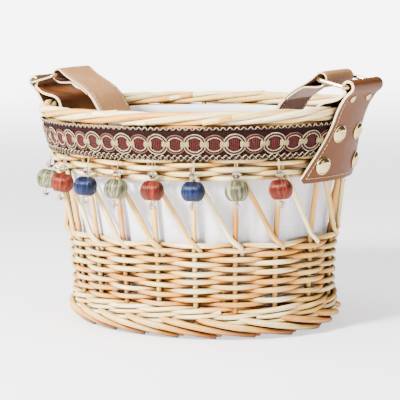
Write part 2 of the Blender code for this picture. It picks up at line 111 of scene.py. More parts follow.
# ------------------------------------------------------------------ mesh helpers
class Builder:
    """Collects tubes and patches into one mesh, with a tone attribute, a UV map and material indices."""

    def __init__(self):
        self.v, self.f, self.uv, self.tone, self.mat = [], [], [], [], []

    def grid(self, rows, closed_u=False, closed_v=False, tone=0.5, mat=0, uvs=None):
        """rows: list of equal-length lists of points; faces between neighbours."""
        nv, nu = len(rows), len(rows[0])
        base = len(self.v)
        for r in rows:
            self.v.extend([tuple(p) for p in r])
        self.tone.extend([tone] * (nv * nu))
        for i in range(nv if closed_v else nv - 1):
            i2 = (i + 1) % nv
            for j in range(nu if closed_u else nu - 1):
                j2 = (j + 1) % nu
                self.f.append((base + i * nu + j, base + i * nu + j2, base + i2 * nu + j2, base + i2 * nu + j))
                self.mat.append(mat)
                if uvs is None:
                    self.uv.append([(j, i), (j + 1, i), (j + 1, i + 1), (j, i + 1)])
                else:
                    u, w = uvs
                    self.uv.append([(u[j], w[i]), (u[j + 1] if j + 1 < len(u) else u[-1], w[i]),
                                    (u[j + 1] if j + 1 < len(u) else u[-1], w[i + 1] if i + 1 < len(w) else w[-1]),
                                    (u[j], w[i + 1] if i + 1 < len(w) else w[-1])])
        return base

    def tube(self, pts, radii, sides=8, closed=False, tone=0.5, mat=0, flat=1.0, dome=True, up=None, spin=0.0):
        """A round rod along pts. flat squeezes it along the second normal. Ends are domed."""
        P = np.array([tuple(p) for p in pts], float)
        n = len(P)
        R = np.full(n, radii, float) if np.isscalar(radii) else np.array(radii, float)
        if closed:
            T = np.roll(P, -1, 0) - np.roll(P, 1, 0)
        else:
            T = np.gradient(P, axis=0)
        T /= np.linalg.norm(T, axis=1)[:, None] + 1e-12
        ref = np.array(up if up is not None else (0, 0, 1.0), float)
        if up is None and abs(T[0] @ ref) > 0.9:
            ref = np.array((1.0, 0, 0))
        N = np.zeros_like(P)
        if up is not None or closed:
            for i in range(n):
                v = ref - T[i] * (T[i] @ ref)
                N[i] = v / (np.linalg.norm(v) + 1e-12)
        else:
            v = ref - T[0] * (T[0] @ ref)
            v /= np.linalg.norm(v)
            for i in range(n):
                v = v - T[i] * (T[i] @ v)
                v /= np.linalg.norm(v) + 1e-12
                N[i] = v
        B = np.cross(T, N)
        L = np.concatenate([[0], np.cumsum(np.linalg.norm(np.diff(P, axis=0), axis=1))])
        a = np.linspace(0, 2 * math.pi, sides, endpoint=False) + spin
        tones = None if np.isscalar(tone) else list(tone)
        rows = []
        for i in range(n):
            rows.append(P[i] + R[i] * (np.outer(np.cos(a), N[i]) * flat + np.outer(np.sin(a), B[i])))
        lens = list(L)
        if dome and not closed:
            def cap(i, sgn):
                out = []
                for h, k in ((0.35, 0.92), (0.62, 0.70)):
                    out.append(P[i] + sgn * T[i] * R[i] * h * 0.6 + R[i] * k * (np.outer(np.cos(a), N[i]) * flat
                                                                               + np.outer(np.sin(a), B[i])))
                return out
            s0, s1 = cap(0, -1), cap(n - 1, 1)
            rows = [s0[1], s0[0]] + rows + s1
            lens = [L[0] - 0.001, L[0] - 0.0005] + list(L) + [L[-1] + 0.0005, L[-1] + 0.001]
        uu = [x / (2 * math.pi) for x in np.linspace(0, 2 * math.pi, sides + 1)]
        vv = lens + ([lens[-1] + float(np.linalg.norm(P[0] - P[-1]))] if closed else [])
        base = self.grid(rows, closed_u=True, closed_v=closed, tone=0.5 if tones else tone, mat=mat, uvs=(uu, vv))
        if tones:
            ext = [tones[0]] * 2 + tones + [tones[-1]] * 2 if len(rows) > n else tones
            self.tone[base:base + len(rows) * sides] = [v for v in ext for _ in range(sides)]
        if not closed:
            m = len(rows)
            self.f.append(tuple(base + j for j in range(sides)))
            self.uv.append([(0.5, 0.0)] * sides)
            self.mat.append(mat)
            self.f.append(tuple(base + (m - 1) * sides + j for j in reversed(range(sides))))
            self.uv.append([(0.5, lens[-1])] * sides)
            self.mat.append(mat)

    def lathe(self, profile, matrix, steps=32, tone=0.5, mat=0):
        """profile: (radius, height) from one pole to the other, both radii 0 at the ends."""
        inner = profile[1:-1]
        a = np.linspace(0, 2 * math.pi, steps, endpoint=False)
        rows = []
        for r, h in inner:
            rows.append([matrix @ Vector((r * math.cos(t), r * math.sin(t), h)) for t in a])
        uu = list(np.linspace(0, 1, steps + 1))
        vv = list(np.linspace(0, 1, len(inner)))
        base = self.grid(rows, closed_u=True, tone=tone, mat=mat, uvs=(uu, vv))
        for k, (row, (r, h)) in enumerate(((0, profile[0]), (len(inner) - 1, profile[-1]))):
            c = len(self.v)
            self.v.append(tuple(matrix @ Vector((0, 0, h))))
            self.tone.append(tone)
            for j in range(steps):
                j2 = (j + 1) % steps
                q = (base + row * steps + j, base + row * steps + j2)
                self.f.append((c, q[1], q[0]) if k == 0 else (c, q[0], q[1]))
                self.uv.append([((j + .5) / steps, vv[row])] + [((j + 1) / steps, vv[row]), (j / steps, vv[row])])
                self.mat.append(mat)

    def object(self, name, mats, smooth=True, angle=None):
        me = bpy.data.meshes.new(name)
        me.from_pydata(self.v, [], self.f)
        uv = me.uv_layers.new(name="UVMap")
        flat = np.array([c for face in self.uv for c in face], np.float32).ravel()
        uv.data.foreach_set("uv", flat)
        at = me.attributes.new("tone", 'FLOAT', 'POINT')
        at.data.foreach_set("value", np.array(self.tone, np.float32))
        me.polygons.foreach_set("material_index", np.array(self.mat, np.int32))
        for m in mats:
            me.materials.append(m)
        bm = bmesh.new()
        bm.from_mesh(me)
        bmesh.ops.recalc_face_normals(bm, faces=bm.faces)
        bm.to_mesh(me)
        bm.free()
        if smooth:
            me.shade_smooth()
            if angle is not None:
                me.set_sharp_from_angle(angle=math.radians(angle))
        me.validate()
        ob = bpy.data.objects.new(name, me)
        bpy.context.scene.collection.objects.link(ob)
        return ob


# ------------------------------------------------------------------ materials
def deep(col):
    """Dyed and varnished colours are richer than their pale swatches; greys are left as they are."""
    if max(col) - min(col) < 0.025:
        return tuple(col)
    return tuple(RICH * c ** DEPTH for c in col)


DEPTH, RICH = 2.4, 0.78


class Mat:
    def __init__(self, name):
        self.m = bpy.data.materials.new(name)
        self.m.use_nodes = True
        self.t = self.m.node_tree
        self.p = self.t.nodes["Principled BSDF"]

    def node(self, kind, **kw):
        n = self.t.nodes.new(kind)
        for k, v in kw.items():
            if k in n.inputs:
                n.inputs[k].default_value = v
            else:
                setattr(n, k, v)
        return n

    def link(self, a, b):
        self.t.links.new(a, b)

    def set(self, **kw):
        for k, v in kw.items():
            self.p.inputs[k.replace("_", " ")].default_value = v

    def coords(self, scale=(1, 1, 1), source="UV"):
        tc = self.node("ShaderNodeTexCoord")
        mp = self.node("ShaderNodeMapping")
        mp.inputs["Scale"].default_value = scale
        self.link(tc.outputs[source], mp.inputs["Vector"])
        return mp.outputs["Vector"]

    def noise(self, vec, scale=5.0, detail=3.0, rough=0.5, dist=0.0):
        n = self.node("ShaderNodeTexNoise")
        n.inputs["Scale"].default_value = scale
        n.inputs["Detail"].default_value = detail
        n.inputs["Roughness"].default_value = rough
        n.inputs["Distortion"].default_value = dist
        self.link(vec, n.inputs["Vector"])
        return n.outputs["Fac"]

    def ramp(self, fac, stops):
        r = self.node("ShaderNodeValToRGB")
        el = r.color_ramp.elements
        while len(el) > 1:
            el.remove(el[-1])
        el[0].position, el[0].color = stops[0][0], (*deep(stops[0][1]), 1)
        for pos, col in stops[1:]:
            e = el.new(pos)
            e.color = (*deep(col), 1)
        self.link(fac, r.inputs["Fac"])
        return r.outputs["Color"]

    def mix(self, a, b, fac, mode='MIX'):
        n = self.node("ShaderNodeMix")
        n.data_type = 'RGBA'
        n.blend_type = mode
        n.clamp_factor = True
        for val, sock in ((fac, n.inputs[0]), (a, n.inputs[6]), (b, n.inputs[7])):
            if isinstance(val, (int, float)):
                sock.default_value = val
            elif isinstance(val, tuple):
                sock.default_value = (*deep(val), 1)
            else:
                self.link(val, sock)
        return n.outputs[2]

    def math(self, op, a, b=0.0, c=0.0):
        n = self.node("ShaderNodeMath")
        n.operation = op
        for val, sock in zip((a, b, c), n.inputs):
            if isinstance(val, (int, float)):
                sock.default_value = val
            else:
                self.link(val, sock)
        return n.outputs[0]

    def attr(self, name):
        n = self.node("ShaderNodeAttribute")
        n.attribute_name = name
        return n.outputs["Fac"]

    def bump(self, height, strength=0.3, distance=0.0003, after=None):
        n = self.node("ShaderNodeBump")
        n.inputs["Strength"].default_value = strength
        n.inputs["Distance"].default_value = distance
        self.link(height, n.inputs["Height"])
        if after is not None:
            self.link(after, n.inputs["Normal"])
        self.link(n.outputs["Normal"], self.p.inputs["Normal"])
        return n.outputs["Normal"]

    def color(self, sock):
        self.link(sock, self.p.inputs["Base Color"])

    def rough(self, sock):
        self.link(sock, self.p.inputs["Roughness"])


def willow_material(name, dark=0.0):
    m = Mat(name)
    tone = m.attr("tone")
    streak = m.noise(m.coords((7.0, 26.0, 1.0)), 1.0, 4.0, 0.6)
    fine = m.noise(m.coords((38.0, 60.0, 1.0)), 1.0, 2.0, 0.6)
    blotch = m.noise(m.coords((1, 1, 1), "Object"), 42.0, 3.0, 0.55)
    # the ramp turns tone into colour, so its orange low end and pale cream high end carry both the rods' own random
    # tones and the painted shade and painted highlight from rod_along's offset term
    base = m.ramp(tone, [(0.0, (0.86 - dark, 0.55 - dark, 0.21 - dark)),
                         (0.35, (0.97 - dark, 0.71 - dark, 0.31 - dark)),
                         (0.65, (1.0 - dark, 0.85 - dark, 0.50 - dark)),
                         (0.85, (1.04 - dark, 0.95 - dark, 0.68 - dark)),
                         (1.0, (1.08 - dark, 1.03 - dark, 0.84 - dark))])
    warm = m.ramp(streak, [(0.34, (0.80, 0.56, 0.30)), (0.56, (1.0, 1.0, 1.0))])
    c = m.mix(base, warm, 0.62, 'MULTIPLY')
    pale = m.ramp(blotch, [(0.45, (0.0, 0.0, 0.0)), (0.75, (1.0, 1.0, 1.0))])
    c = m.mix(c, (0.97, 0.90, 0.70), m.math('MULTIPLY', pale, 0.35))
    spot = m.node("ShaderNodeTexVoronoi")
    spot.inputs["Scale"].default_value = 1.0
    m.link(m.coords((3.0, 42.0, 1.0)), spot.inputs["Vector"])
    dot = m.ramp(spot.outputs["Distance"], [(0.035, (1, 1, 1)), (0.10, (0, 0, 0))])
    c = m.mix(c, (0.45, 0.26, 0.14), m.math('MULTIPLY', dot, 0.65))
    # painted shade: ambient occlusion turns the willow dark brown in the gaps and recesses between rods, where shade
    # falls
    ao = m.node("ShaderNodeAmbientOcclusion")
    ao.samples = 6
    ao.inputs["Distance"].default_value = 0.013
    open_ = m.ramp(ao.outputs["AO"], [(0.14, (0.0, 0.0, 0.0)), (0.44, (0.36, 0.36, 0.36)), (0.80, (1.0, 1.0, 1.0))])
    c = m.mix(m.mix(c, (0.25, 0.11, 0.048), 0.95), c, open_)
    m.color(c)
    m.rough(m.math('MULTIPLY_ADD', streak, 0.25, 0.36))
    m.bump(m.math('ADD', m.math('MULTIPLY', streak, 0.7), m.math('MULTIPLY', fine, 0.5)), 0.55, 0.00035)
    m.set(Subsurface_Weight=0.0, Specular_IOR_Level=0.22)
    m.p.inputs["Subsurface Radius"].default_value = (0.004, 0.002, 0.001)
    m.p.inputs["Subsurface Scale"].default_value = 0.6
    return m.m


def cloth_material(name, col, col2, pitch, strength=0.4, rough=0.85, sheen=0.15, slub=0.3):
    """Plain weave with its own threads: UV is in metres."""
    m = Mat(name)
    uv = m.coords((1, 1, 1))
    sep = m.node("ShaderNodeSeparateXYZ")
    m.link(uv, sep.inputs[0])
    k = 2 * math.pi / pitch
    sx = m.math('SINE', m.math('MULTIPLY', sep.outputs[0], k))
    sy = m.math('SINE', m.math('MULTIPLY', sep.outputs[1], k))
    checker = m.math('MULTIPLY', sx, sy)
    warp = m.noise(m.coords((900.0, 26.0, 1.0)), 1.0, 2.0)
    weft = m.noise(m.coords((26.0, 900.0, 1.0)), 1.0, 2.0)
    soft = m.noise(m.coords((1, 1, 1), "Object"), 30.0, 3.0)
    thread = m.math('ADD', m.math('MULTIPLY', warp, 0.5), m.math('MULTIPLY', weft, 0.5))
    c = m.mix(col, col2, m.ramp(thread, [(0.38, (0, 0, 0)), (0.66, (1, 1, 1))]))
    c = m.mix(c, tuple(x * 0.9 for x in col), m.math('MULTIPLY', soft, slub))
    m.color(c)
    h = m.math('ADD', m.math('MULTIPLY', checker, 0.35), thread)
    m.bump(h, strength, 0.00025)
    m.set(Roughness=rough, Sheen_Weight=sheen, Sheen_Roughness=0.5, Specular_IOR_Level=0.12)
    return m.m


def cord_material(name, col, dark, rough=0.6, pitch=1400.0, sheen=0.05):
    """Twisted thread: UV is (round, along in metres)."""
    m = Mat(name)
    sep = m.node("ShaderNodeSeparateXYZ")
    m.link(m.coords((1, 1, 1)), sep.inputs[0])
    lay = m.math('SINE', m.math('ADD', m.math('MULTIPLY', sep.outputs[1], pitch * 2.2),
                                m.math('MULTIPLY', sep.outputs[0], 2 * math.pi * 2)))
    n = m.noise(m.coords((1, 1, 1), "Object"), 260.0, 2.0)
    # painted shade in the twist: the lay term darkens the cord in the grooves, where the bump is low; the noise term is
    # the thread's own uneven colour
    c = m.mix(dark, col, m.ramp(m.math('ADD', m.math('MULTIPLY', lay, 0.3), n), [(0.1, (0, 0, 0)), (0.6, (1, 1, 1))]))
    m.color(c)
    m.bump(lay, 0.6, 0.0002)
    m.set(Roughness=rough, Sheen_Weight=sheen, Specular_IOR_Level=0.2)
    return m.m


def leather_material(name, col, dark, rough=0.42):
    m = Mat(name)
    oc = m.coords((1, 1, 1), "Object")
    v = m.node("ShaderNodeTexVoronoi")
    v.inputs["Scale"].default_value = 1150.0
    m.link(oc, v.inputs["Vector"])
    pores = m.noise(oc, 620.0, 3.0, 0.6)
    cloud = m.noise(oc, 24.0, 4.0, 0.6)
    wear = m.noise(oc, 90.0, 4.0, 0.65, 0.6)
    c = m.mix(col, dark, m.math('MULTIPLY', cloud, 0.55))
    c = m.mix(c, tuple(min(1, x * 1.25 + 0.03) for x in col), m.math('MULTIPLY', m.ramp(wear, [(0.52, (0, 0, 0)), (0.80, (1, 1, 1))]), 0.35))
    m.color(c)
    m.rough(m.math('MULTIPLY_ADD', pores, 0.22, rough - 0.08))
    m.bump(m.math('ADD', v.outputs["Distance"], m.math('MULTIPLY', pores, 0.8)), 0.28, 0.00018)
    m.set(Specular_IOR_Level=0.16)
    return m.m


def metal_material(name, col, rough=0.18):
    m = Mat(name)
    oc = m.coords((1, 1, 1), "Object")
    n = m.noise(oc, 240.0, 3.0, 0.6)
    s = m.noise(oc, 55.0, 3.0, 0.6)
    m.color(m.mix(col, tuple(x * 0.72 for x in col), m.math('MULTIPLY', s, 0.5)))
    m.rough(m.math('MULTIPLY_ADD', n, 0.16, rough - 0.06))
    m.bump(n, 0.05, 0.0001)
    m.set(Metallic=1.0)
    return m.m


def silk_material(name, light, mid, dark):
    """Threads wound pole to pole: UV.x runs round the ball."""
    m = Mat(name)
    thr = m.noise(m.coords((46.0, 1.1, 1.0)), 1.0, 3.0, 0.8)
    broad = m.noise(m.coords((17.0, 1.2, 1.0)), 1.0, 2.0, 0.5)
    # painted sheen and shade: dark, mid and light are shaded, plain and lit copies of one silk colour; the fine thread
    # stripes paint shade between raised threads and the broad bands paint streaks of sheen
    c = m.mix(dark, mid, m.ramp(thr, [(0.40, (0, 0, 0)), (0.54, (1, 1, 1))]))
    c = m.mix(c, light, m.math('MULTIPLY', m.ramp(broad, [(0.46, (0, 0, 0)), (0.66, (1, 1, 1))]), 0.6))
    m.color(c)
    m.bump(m.math('ADD', thr, m.math('MULTIPLY', broad, 0.5)), 1.0, 0.0011)
    m.set(Roughness=0.43, Specular_IOR_Level=0.65, Anisotropic=0.7)
    m.p.inputs["Specular Tint"].default_value = (*[min(1.0, v + 0.25) for v in light], 1)
    return m.m


M_WILLOW = willow_material("willow_rod")
M_BASE = willow_material("willow_base_rod", dark=0.06)
M_LINEN = cloth_material("linen_lining", (0.84, 0.83, 0.845), (0.70, 0.69, 0.70), 0.0016, 0.75, 0.9, 0.0)
M_HEM = cloth_material("linen_hem", (0.79, 0.78, 0.775), (0.71, 0.70, 0.70), 0.0011, 0.35, 0.9, 0.0)
M_THREAD = cord_material("linen_thread", (0.80, 0.77, 0.73), (0.6, 0.57, 0.53))
M_GIMP = cloth_material("gimp_ground", (0.19, 0.060, 0.056), (0.045, 0.016, 0.016), 0.0013, 0.8, 0.8, 0.0, 0.5)
M_REDBAR = cord_material("gimp_red_thread", (0.36, 0.095, 0.070), (0.07, 0.02, 0.018))
M_DARKC = cord_material("gimp_dark_cord", (0.085, 0.026, 0.026), (0.02, 0.008, 0.008))
M_CREAM = cord_material("gimp_cream_cord", (0.92, 0.82, 0.63), (0.40, 0.28, 0.18))
M_PINK = cord_material("gimp_tan_cord", (0.60, 0.38, 0.26), (0.28, 0.15, 0.10))
M_RIBBON = cord_material("gimp_ribbon", (0.72, 0.64, 0.44), (0.30, 0.25, 0.15), 0.5, 700.0)
M_LEATHER = leather_material("camel_leather", (0.745, 0.565, 0.40), (0.675, 0.49, 0.33))
M_PATCH = leather_material("camel_leather_patch", (0.47, 0.305, 0.182), (0.395, 0.245, 0.14))
M_UNDER = leather_material("leather_flesh_side", (0.50, 0.36, 0.30), (0.43, 0.30, 0.25), 0.7)
M_EDGE = leather_material("leather_cut_edge", (0.95, 0.87, 0.72), (0.87, 0.76, 0.60), 0.6)
M_STITCH = cord_material("stitch_thread", (0.92, 0.78, 0.62), (0.70, 0.52, 0.38))
M_BRASS = metal_material("pale_brass", (0.98, 0.87, 0.62), 0.13)
M_RING = metal_material("ring_wire", (0.96, 0.87, 0.68), 0.20)
# each silk is given as a lit, a plain and a shaded copy of its colour, for the painted sheen and shade
SILK = {"green": silk_material("silk_green", (0.86, 0.86, 0.66), (0.36, 0.36, 0.20), (0.09, 0.09, 0.035)),
        "red": silk_material("silk_red", (0.74, 0.24, 0.11), (0.36, 0.048, 0.018), (0.09, 0.014, 0.008)),
        "navy": silk_material("silk_navy", (0.14, 0.22, 0.46), (0.015, 0.036, 0.145), (0.004, 0.009, 0.04))}
g = Mat("clear_glass")
g.set(Transmission_Weight=1.0, Roughness=0.03, IOR=1.48)
gn = g.noise(g.coords((1, 1, 1), "Object"), 500.0, 1.0)
g.color(g.mix((0.93, 0.95, 0.96), (1.0, 1.0, 1.0), gn))
g.bump(gn, 0.12, 0.0002)
M_GLASS = g.m


def nz(a, b=0.0, c=0.0):
    return noise.noise(Vector((a, b, c)))


# ------------------------------------------------------------------ willow work
def rod_along(b, s0, s1, fn, radius, per=8, tone=0.5, sides=8, flat=1.0, taper=0.0):
    """A rod from stake coordinate s0 to s1; fn(s) gives (height, offset)."""
    n = max(int(abs(s1 - s0) * per), 4)
    pts, rr, tt = [], [], []
    for i in range(n + 1):
        t = i / n
        s = s0 + (s1 - s0) * t
        z, off = fn(s)
        pts.append(wall(stake_phi(s), z, off))
        # tone is each rod's own random tone of willow plus painted light: the offset term paints parts standing out in
        # front paler and parts lying back behind the stakes darker
        tt.append(min(1.0, max(0.0, 0.12 + 0.62 * tone + 0.30 * off / 0.0031 + 0.10 * nz(s * 1.7, z * 900, tone * 50))))
        rr.append(radius * (1 - taper * t) * (1 + 0.05 * nz(s * 1.3, radius * 1e4, z * 1e3)))
    b.tube(pts, rr, sides=sides, tone=tt, flat=flat)


def randing(b, z, k, amp, radius, seed, jitter=0.00035, flat=1.12):
    """One row of plain weave, in front of every other stake, made of a few rods whose ends tuck in behind."""
    starts = sorted(RND.sample([i for i in range(N_STAKES) if (i + k) % 2 == 1], 3))
    for i, a in enumerate(starts):
        e = starts[(i + 1) % len(starts)] + (N_STAKES if i + 1 == len(starts) else 0)
        z_shift = RND.uniform(-1, 1) * 0.00025
        sd = seed * 7.3 + i * 3.1

        def fn(s, sd=sd, z_shift=z_shift):
            w = amp * math.cos(math.pi * (s + k))
            dz = jitter * nz(s * 0.9, sd, 1.0) * 2 + 0.00045 * math.sin(math.pi * (s + k) * 0.5 + sd)
            return z + dz + z_shift, w + 0.0003 * nz(s * 0.8, sd, 5.0)
        rod_along(b, a - 0.32, e + 0.30, fn, radius * RND.uniform(0.95, 1.06), 9, RND.random(), 9, flat, 0.08)


low = Builder()
for r in range(14):
    randing(low, 0.0282 + r * 0.00362, r, 0.0031, 0.00188, 10 + r, 0.00045)
# three-rod wale under it
for r in range(3):
    z = 0.0143 + r * 0.0046
    for strand in range(3):
        sd = 90 + r * 5 + strand

        def fn(s, z=z, strand=strand, sd=sd):
            a = 2 * math.pi * (s + strand + r) / 3.0
            return z + 0.0013 * math.sin(a) + 0.0004 * nz(s * 0.7, sd), 0.0008 + 0.0036 * math.cos(a) ** 1 + 0.0003 * nz(s, sd)
        a0 = strand + r * 0.7
        for piece in range(3):
            rod_along(low, a0 + piece * N_STAKES / 3 - 0.2, a0 + (piece + 1) * N_STAKES / 3 + 0.2, fn,
                      0.00215 * RND.uniform(0.95, 1.05), 9, RND.random(), 8, 0.95)
lower = low.object("woven_lower_wall", [M_WILLOW])
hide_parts("lower_weave"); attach(lower, "basket")

up = Builder()
for r in range(13):
    z = 0.1296 + r * 0.00368
    visible = z < BRAID_Z0 + 0.002
    randing(up, z, r, 0.0033 if visible else 0.0018, 0.0020 if visible else 0.0016, 40 + r)
upper = up.object("woven_upper_band", [M_WILLOW])
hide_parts("upper_weave"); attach(upper, "basket")

lat = Builder()
for i in range(N_STAKES):
    sd = i * 2.17
    lean = 0.05 * nz(sd, 3.3)

    def up_fn(t):
        z = 0.010 + 0.163 * t
        bow = 0.012 * nz(t * 2.0, sd)
        return wall(stake_phi(i + lean * (t - 0.4) + bow), z, -0.0001 + 0.0004 * nz(t * 3, sd, 2))
    pts = [up_fn(t / 40) for t in range(41)]
    lat.tube(pts, [0.00235 * (1 - 0.12 * t / 40) for t in range(41)], 10, tone=RND.uniform(0.05, 0.75))
    # slanting rod, tucked under the upper band, down to the foot of the next stake and in behind it
    ks = [(0.02, 0.1365, -0.0010), (0.10, 0.1312, 0.0005), (0.20, 0.1232, 0.0022), (0.52, 0.1035, 0.0028),
          (0.84, 0.0838, 0.0034), (0.955, 0.0788, 0.0046), (1.04, 0.0764, 0.0050), (1.11, 0.0740, 0.0036),
          (1.15, 0.0710, 0.0008), (1.16, 0.0670, -0.0012)]
    cr = []
    for a in range(len(ks) - 1):
        p0, p1, p2, p3 = ks[max(a - 1, 0)], ks[a], ks[a + 1], ks[min(a + 2, len(ks) - 1)]
        for j in range(6):
            t = j / 6
            cr.append([0.5 * ((2 * p1[q]) + (-p0[q] + p2[q]) * t + (2 * p0[q] - 5 * p1[q] + 4 * p2[q] - p3[q]) * t * t
                              + (-p0[q] + 3 * p1[q] - 3 * p2[q] + p3[q]) * t ** 3) for q in range(3)])
    cr.append(list(ks[-1]))
    bow = 0.010 * nz(sd, 9.1)
    pts = [wall(stake_phi(i + c[0] + bow * math.sin(math.pi * min(max(c[0], 0), 1))), c[1], c[2]) for c in cr]
    lat.tube(pts, 0.00205 * (1 + 0.06 * nz(sd, 4.4)), 9, tone=RND.uniform(0.45, 0.95))
lattice = lat.object("willow_stakes", [M_WILLOW])
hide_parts("stake_lattice"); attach(lattice, "basket")

# foot border: each rod sweeps from beside its stake down and along the foot, over the next ones
ft = Builder()
for i in range(N_STAKES):
    sd = 200 + i * 1.7
    span = 2.5

    def fn(s, i=i, sd=sd, span=span):
        t = (s - i) / span
        z = 0.0025 + 0.0149 * max(1 - t, 0) ** 1.05 + 0.0006 * nz(s, sd)
        off = 0.0010 + 0.0062 * math.sin(math.pi * min(max(t, 0), 1) ** 0.62) ** 0.8 - 0.0030 * t * t
        return z, off
    rod_along(ft, i, i + span * 0.985, fn, 0.0026 * (1 + 0.12 * nz(sd, 1.2)), 8, RND.uniform(-0.85, 0.15), 10, 1.0, 0.10)
    # second, inner rod of the pair fills the border's back
    def fn2(s, i=i, sd=sd):
        t = (s - i) / 2.4
        return 0.0042 + 0.0080 * max(1 - t, 0) ** 1.3, -0.0022 + 0.0012 * math.sin(math.pi * min(max(t, 0), 1))
    rod_along(ft, i + 0.2, i + 2.6, fn2, 0.0026, 7, RND.uniform(0.2, 0.8), 9, 1.0, 0.1)
foot = ft.object("plaited_foot_border", [M_WILLOW])
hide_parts("foot_border"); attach(foot, "basket")

# rim border: rods laid round the rim with a slow twist, their cut ends lying inside and out
rim = Builder()
N_RIM = 4
TURNS = 5
for k in range(N_RIM):
    for piece in range(4):
        a0 = 2 * math.pi * (piece / 4 + k * 0.11)
        n = 76
        pts, rr = [], []
        for i in range(n + 1):
            a = a0 + (2 * math.pi / 4 * 1.10) * (i / n)
            th = TURNS * (a - 0) + 2 * math.pi * k / N_RIM
            rad = 0.0031
            lift = 0.0008 * max(0, (i / n - 0.93) / 0.07) + 0.0008 * max(0, (0.05 - i / n) / 0.05)
            wob = 0.0003 * nz(a * 6, k * 3.3 + piece)
            pts.append(wall(a, Z_BORDER + (rad + wob + lift) * math.sin(th), (rad + wob + lift) * math.cos(th)))
            rr.append(0.0027 * (1 + 0.06 * nz(a * 4, k, piece)) * (1 - 0.1 * i / n))
        rim.tube(pts, rr, 9, tone=RND.uniform(0.30, 1.0))
rimo = rim.object("rolled_rim_border", [M_WILLOW])
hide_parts("top_border"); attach(rimo, "basket")

# base: sticks across, and rods woven round them out to the border
bs = Builder()
A_B, B_B = A_FOOT - 0.0062, B_FOOT - 0.0062
n_stick = 9
for i in range(n_stick):
    x = -0.078 + 0.156 * i / (n_stick - 1)
    half = B_B * math.sqrt(max(1 - (x / A_B) ** 2, 0)) - 0.001
    bs.tube([Vector((x, -half + 2 * half * t / 12, 0.0062)) for t in range(13)], 0.0024, 8, tone=RND.random())
rings = 17
for r in range(rings):
    f = (r + 0.6) / rings
    n = 180
    ph = r % 2
    pts = []
    for i in range(n):
        a = 2 * math.pi * i / n
        x, y = A_B * f * math.cos(a), B_B * f * math.sin(a)
        u = (x + 0.078) / (0.156 / (n_stick - 1))
        pts.append(Vector((x, y, 0.0062 + 0.0016 * math.cos(math.pi * (u + ph)) * (1 if y > 0 else -1))))
    bs.tube(pts, 0.0023, 7, closed=True, tone=RND.random(), up=(0, 0, 1))
base = bs.object("woven_base", [M_BASE])
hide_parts("base_panel"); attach(base, "basket")

# ------------------------------------------------------------------ lining
def lining_point(phi, v):
    """v runs 0 at the middle of the floor, 1 at the floor's edge, 2 at the top edge."""
    if v <= 1.0:
        edge = wall(phi, 0.0125, -0.0150)
        r = v
        wr = 0.0007 * nz(edge.x * r * 60, edge.y * r * 60, 2.0) * min(1, r * 2)
        return Vector((edge.x * r, edge.y * r, 0.0105 + max(0, r - 0.9) * 0.012 + abs(wr)))
    t = v - 1.0
    z = 0.0117 + (0.1697 - 0.0117) * t
    off = -0.0150 + 0.0088 * (1 - math.exp(-t * 26))
    open_zone = math.exp(-((z - 0.102) / 0.023) ** 2)
    s = phi
    puff = 0.0016 * open_zone * (0.5 + 0.5 * nz(s * 7.0, z * 40))
    fold = 0.0009 * nz(s * 16.0, z * 14.0, 3.0) + 0.0005 * nz(s * 38.0, z * 26.0, 8.0)
    drape = 0.0007 * math.sin(s * 31 + 2.5 * nz(s * 3, z * 20)) * max(0, 1 - z / 0.18)
    lip = -0.0009 * max(0, (z - 0.162) / 0.008)
    return wall(phi, z, min(off + puff + fold + drape + lip - 0.0002, -0.0040))


ln = Builder()
NU, NV1, NV2 = 260, 10, 84
rows = []
for j in range(1, NV1 + 1):
    rows.append([lining_point(2 * math.pi * i / NU, j / NV1) for i in range(NU)])
for j in range(1, NV2 + 1):
    rows.append([lining_point(2 * math.pi * i / NU, 1 + j / NV2) for i in range(NU)])
uu = [i / NU * 0.72 for i in range(NU + 1)]
vv = [j * 0.01 for j in range(NV1)] + [0.1 + j * 0.175 / NV2 for j in range(NV2)]
b0 = ln.grid(rows, closed_u=True, uvs=(uu, vv))
c0 = len(ln.v)
ln.v.append((0, 0, 0.0105)); ln.tone.append(0.5)
for i in range(NU):
    ln.f.append((c0, b0 + (i + 1) % NU, b0 + i)); ln.mat.append(0)
    ln.uv.append([(uu[i], -0.01), (uu[i + 1], 0.0), (uu[i], 0.0)])
lining = ln.object("linen_lining", [M_LINEN])
md = lining.modifiers.new("cloth", 'SOLIDIFY')
md.thickness, md.offset = 0.0006, 0.0
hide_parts("lining"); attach(lining, "basket")

# hem: the lining's edge turned over outward under the rim, with its row of stitches
hm = Builder()
prof = [(-0.0076, 0.1617), (-0.0080, 0.1687), (-0.0078, 0.1710), (-0.0068, 0.1713), (-0.0062, 0.1697), (-0.0062, 0.1619)]
rows = [[wall(2 * math.pi * i / NU, z, off + 0.0003 * nz(i * 0.4, z * 50)) for i in range(NU)] for off, z in prof]
hm.grid(rows, closed_u=True, uvs=(uu, [0, .006, .008, .009, .011, .018]), closed_v=True)
hem = hm.object("lining_hem", [M_HEM])
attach(hem, "basket")
hs = Builder()
n = 230
for i in range(n):
    a = 2 * math.pi * i / n
    da = 2 * math.pi / n * 0.36
    hs.tube([wall(a + da * (t / 2 - 1), 0.1635, -0.00785 - 0.00018 * math.sin(math.pi * t / 4)) for t in range(5)], 0.00022, 5)
hst = hs.object("lining_hem_stitches", [M_THREAD])
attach(hst, "basket")

# ------------------------------------------------------------------ gimp braid
BR = []
acc = 0.0
zc = 0.5 * (BRAID_Z0 + BRAID_Z1)
NB = 2400
prev = wall(-math.pi / 2, zc, 0.005)
for i in range(NB + 1):
    a = -math.pi / 2 + 2 * math.pi * i / NB
    p = wall(a, zc, 0.005)
    acc += (p - prev).length
    prev = p
    BR.append(acc)
BR = np.array(BR)
LEN = BR[-1]


def braid_phi(s):
    s = s % LEN
    j = min(int(np.searchsorted(BR, s, side="right")) - 1, NB - 1)
    return -math.pi / 2 + 2 * math.pi * (j + (s - BR[j]) / (BR[j + 1] - BR[j])) / NB


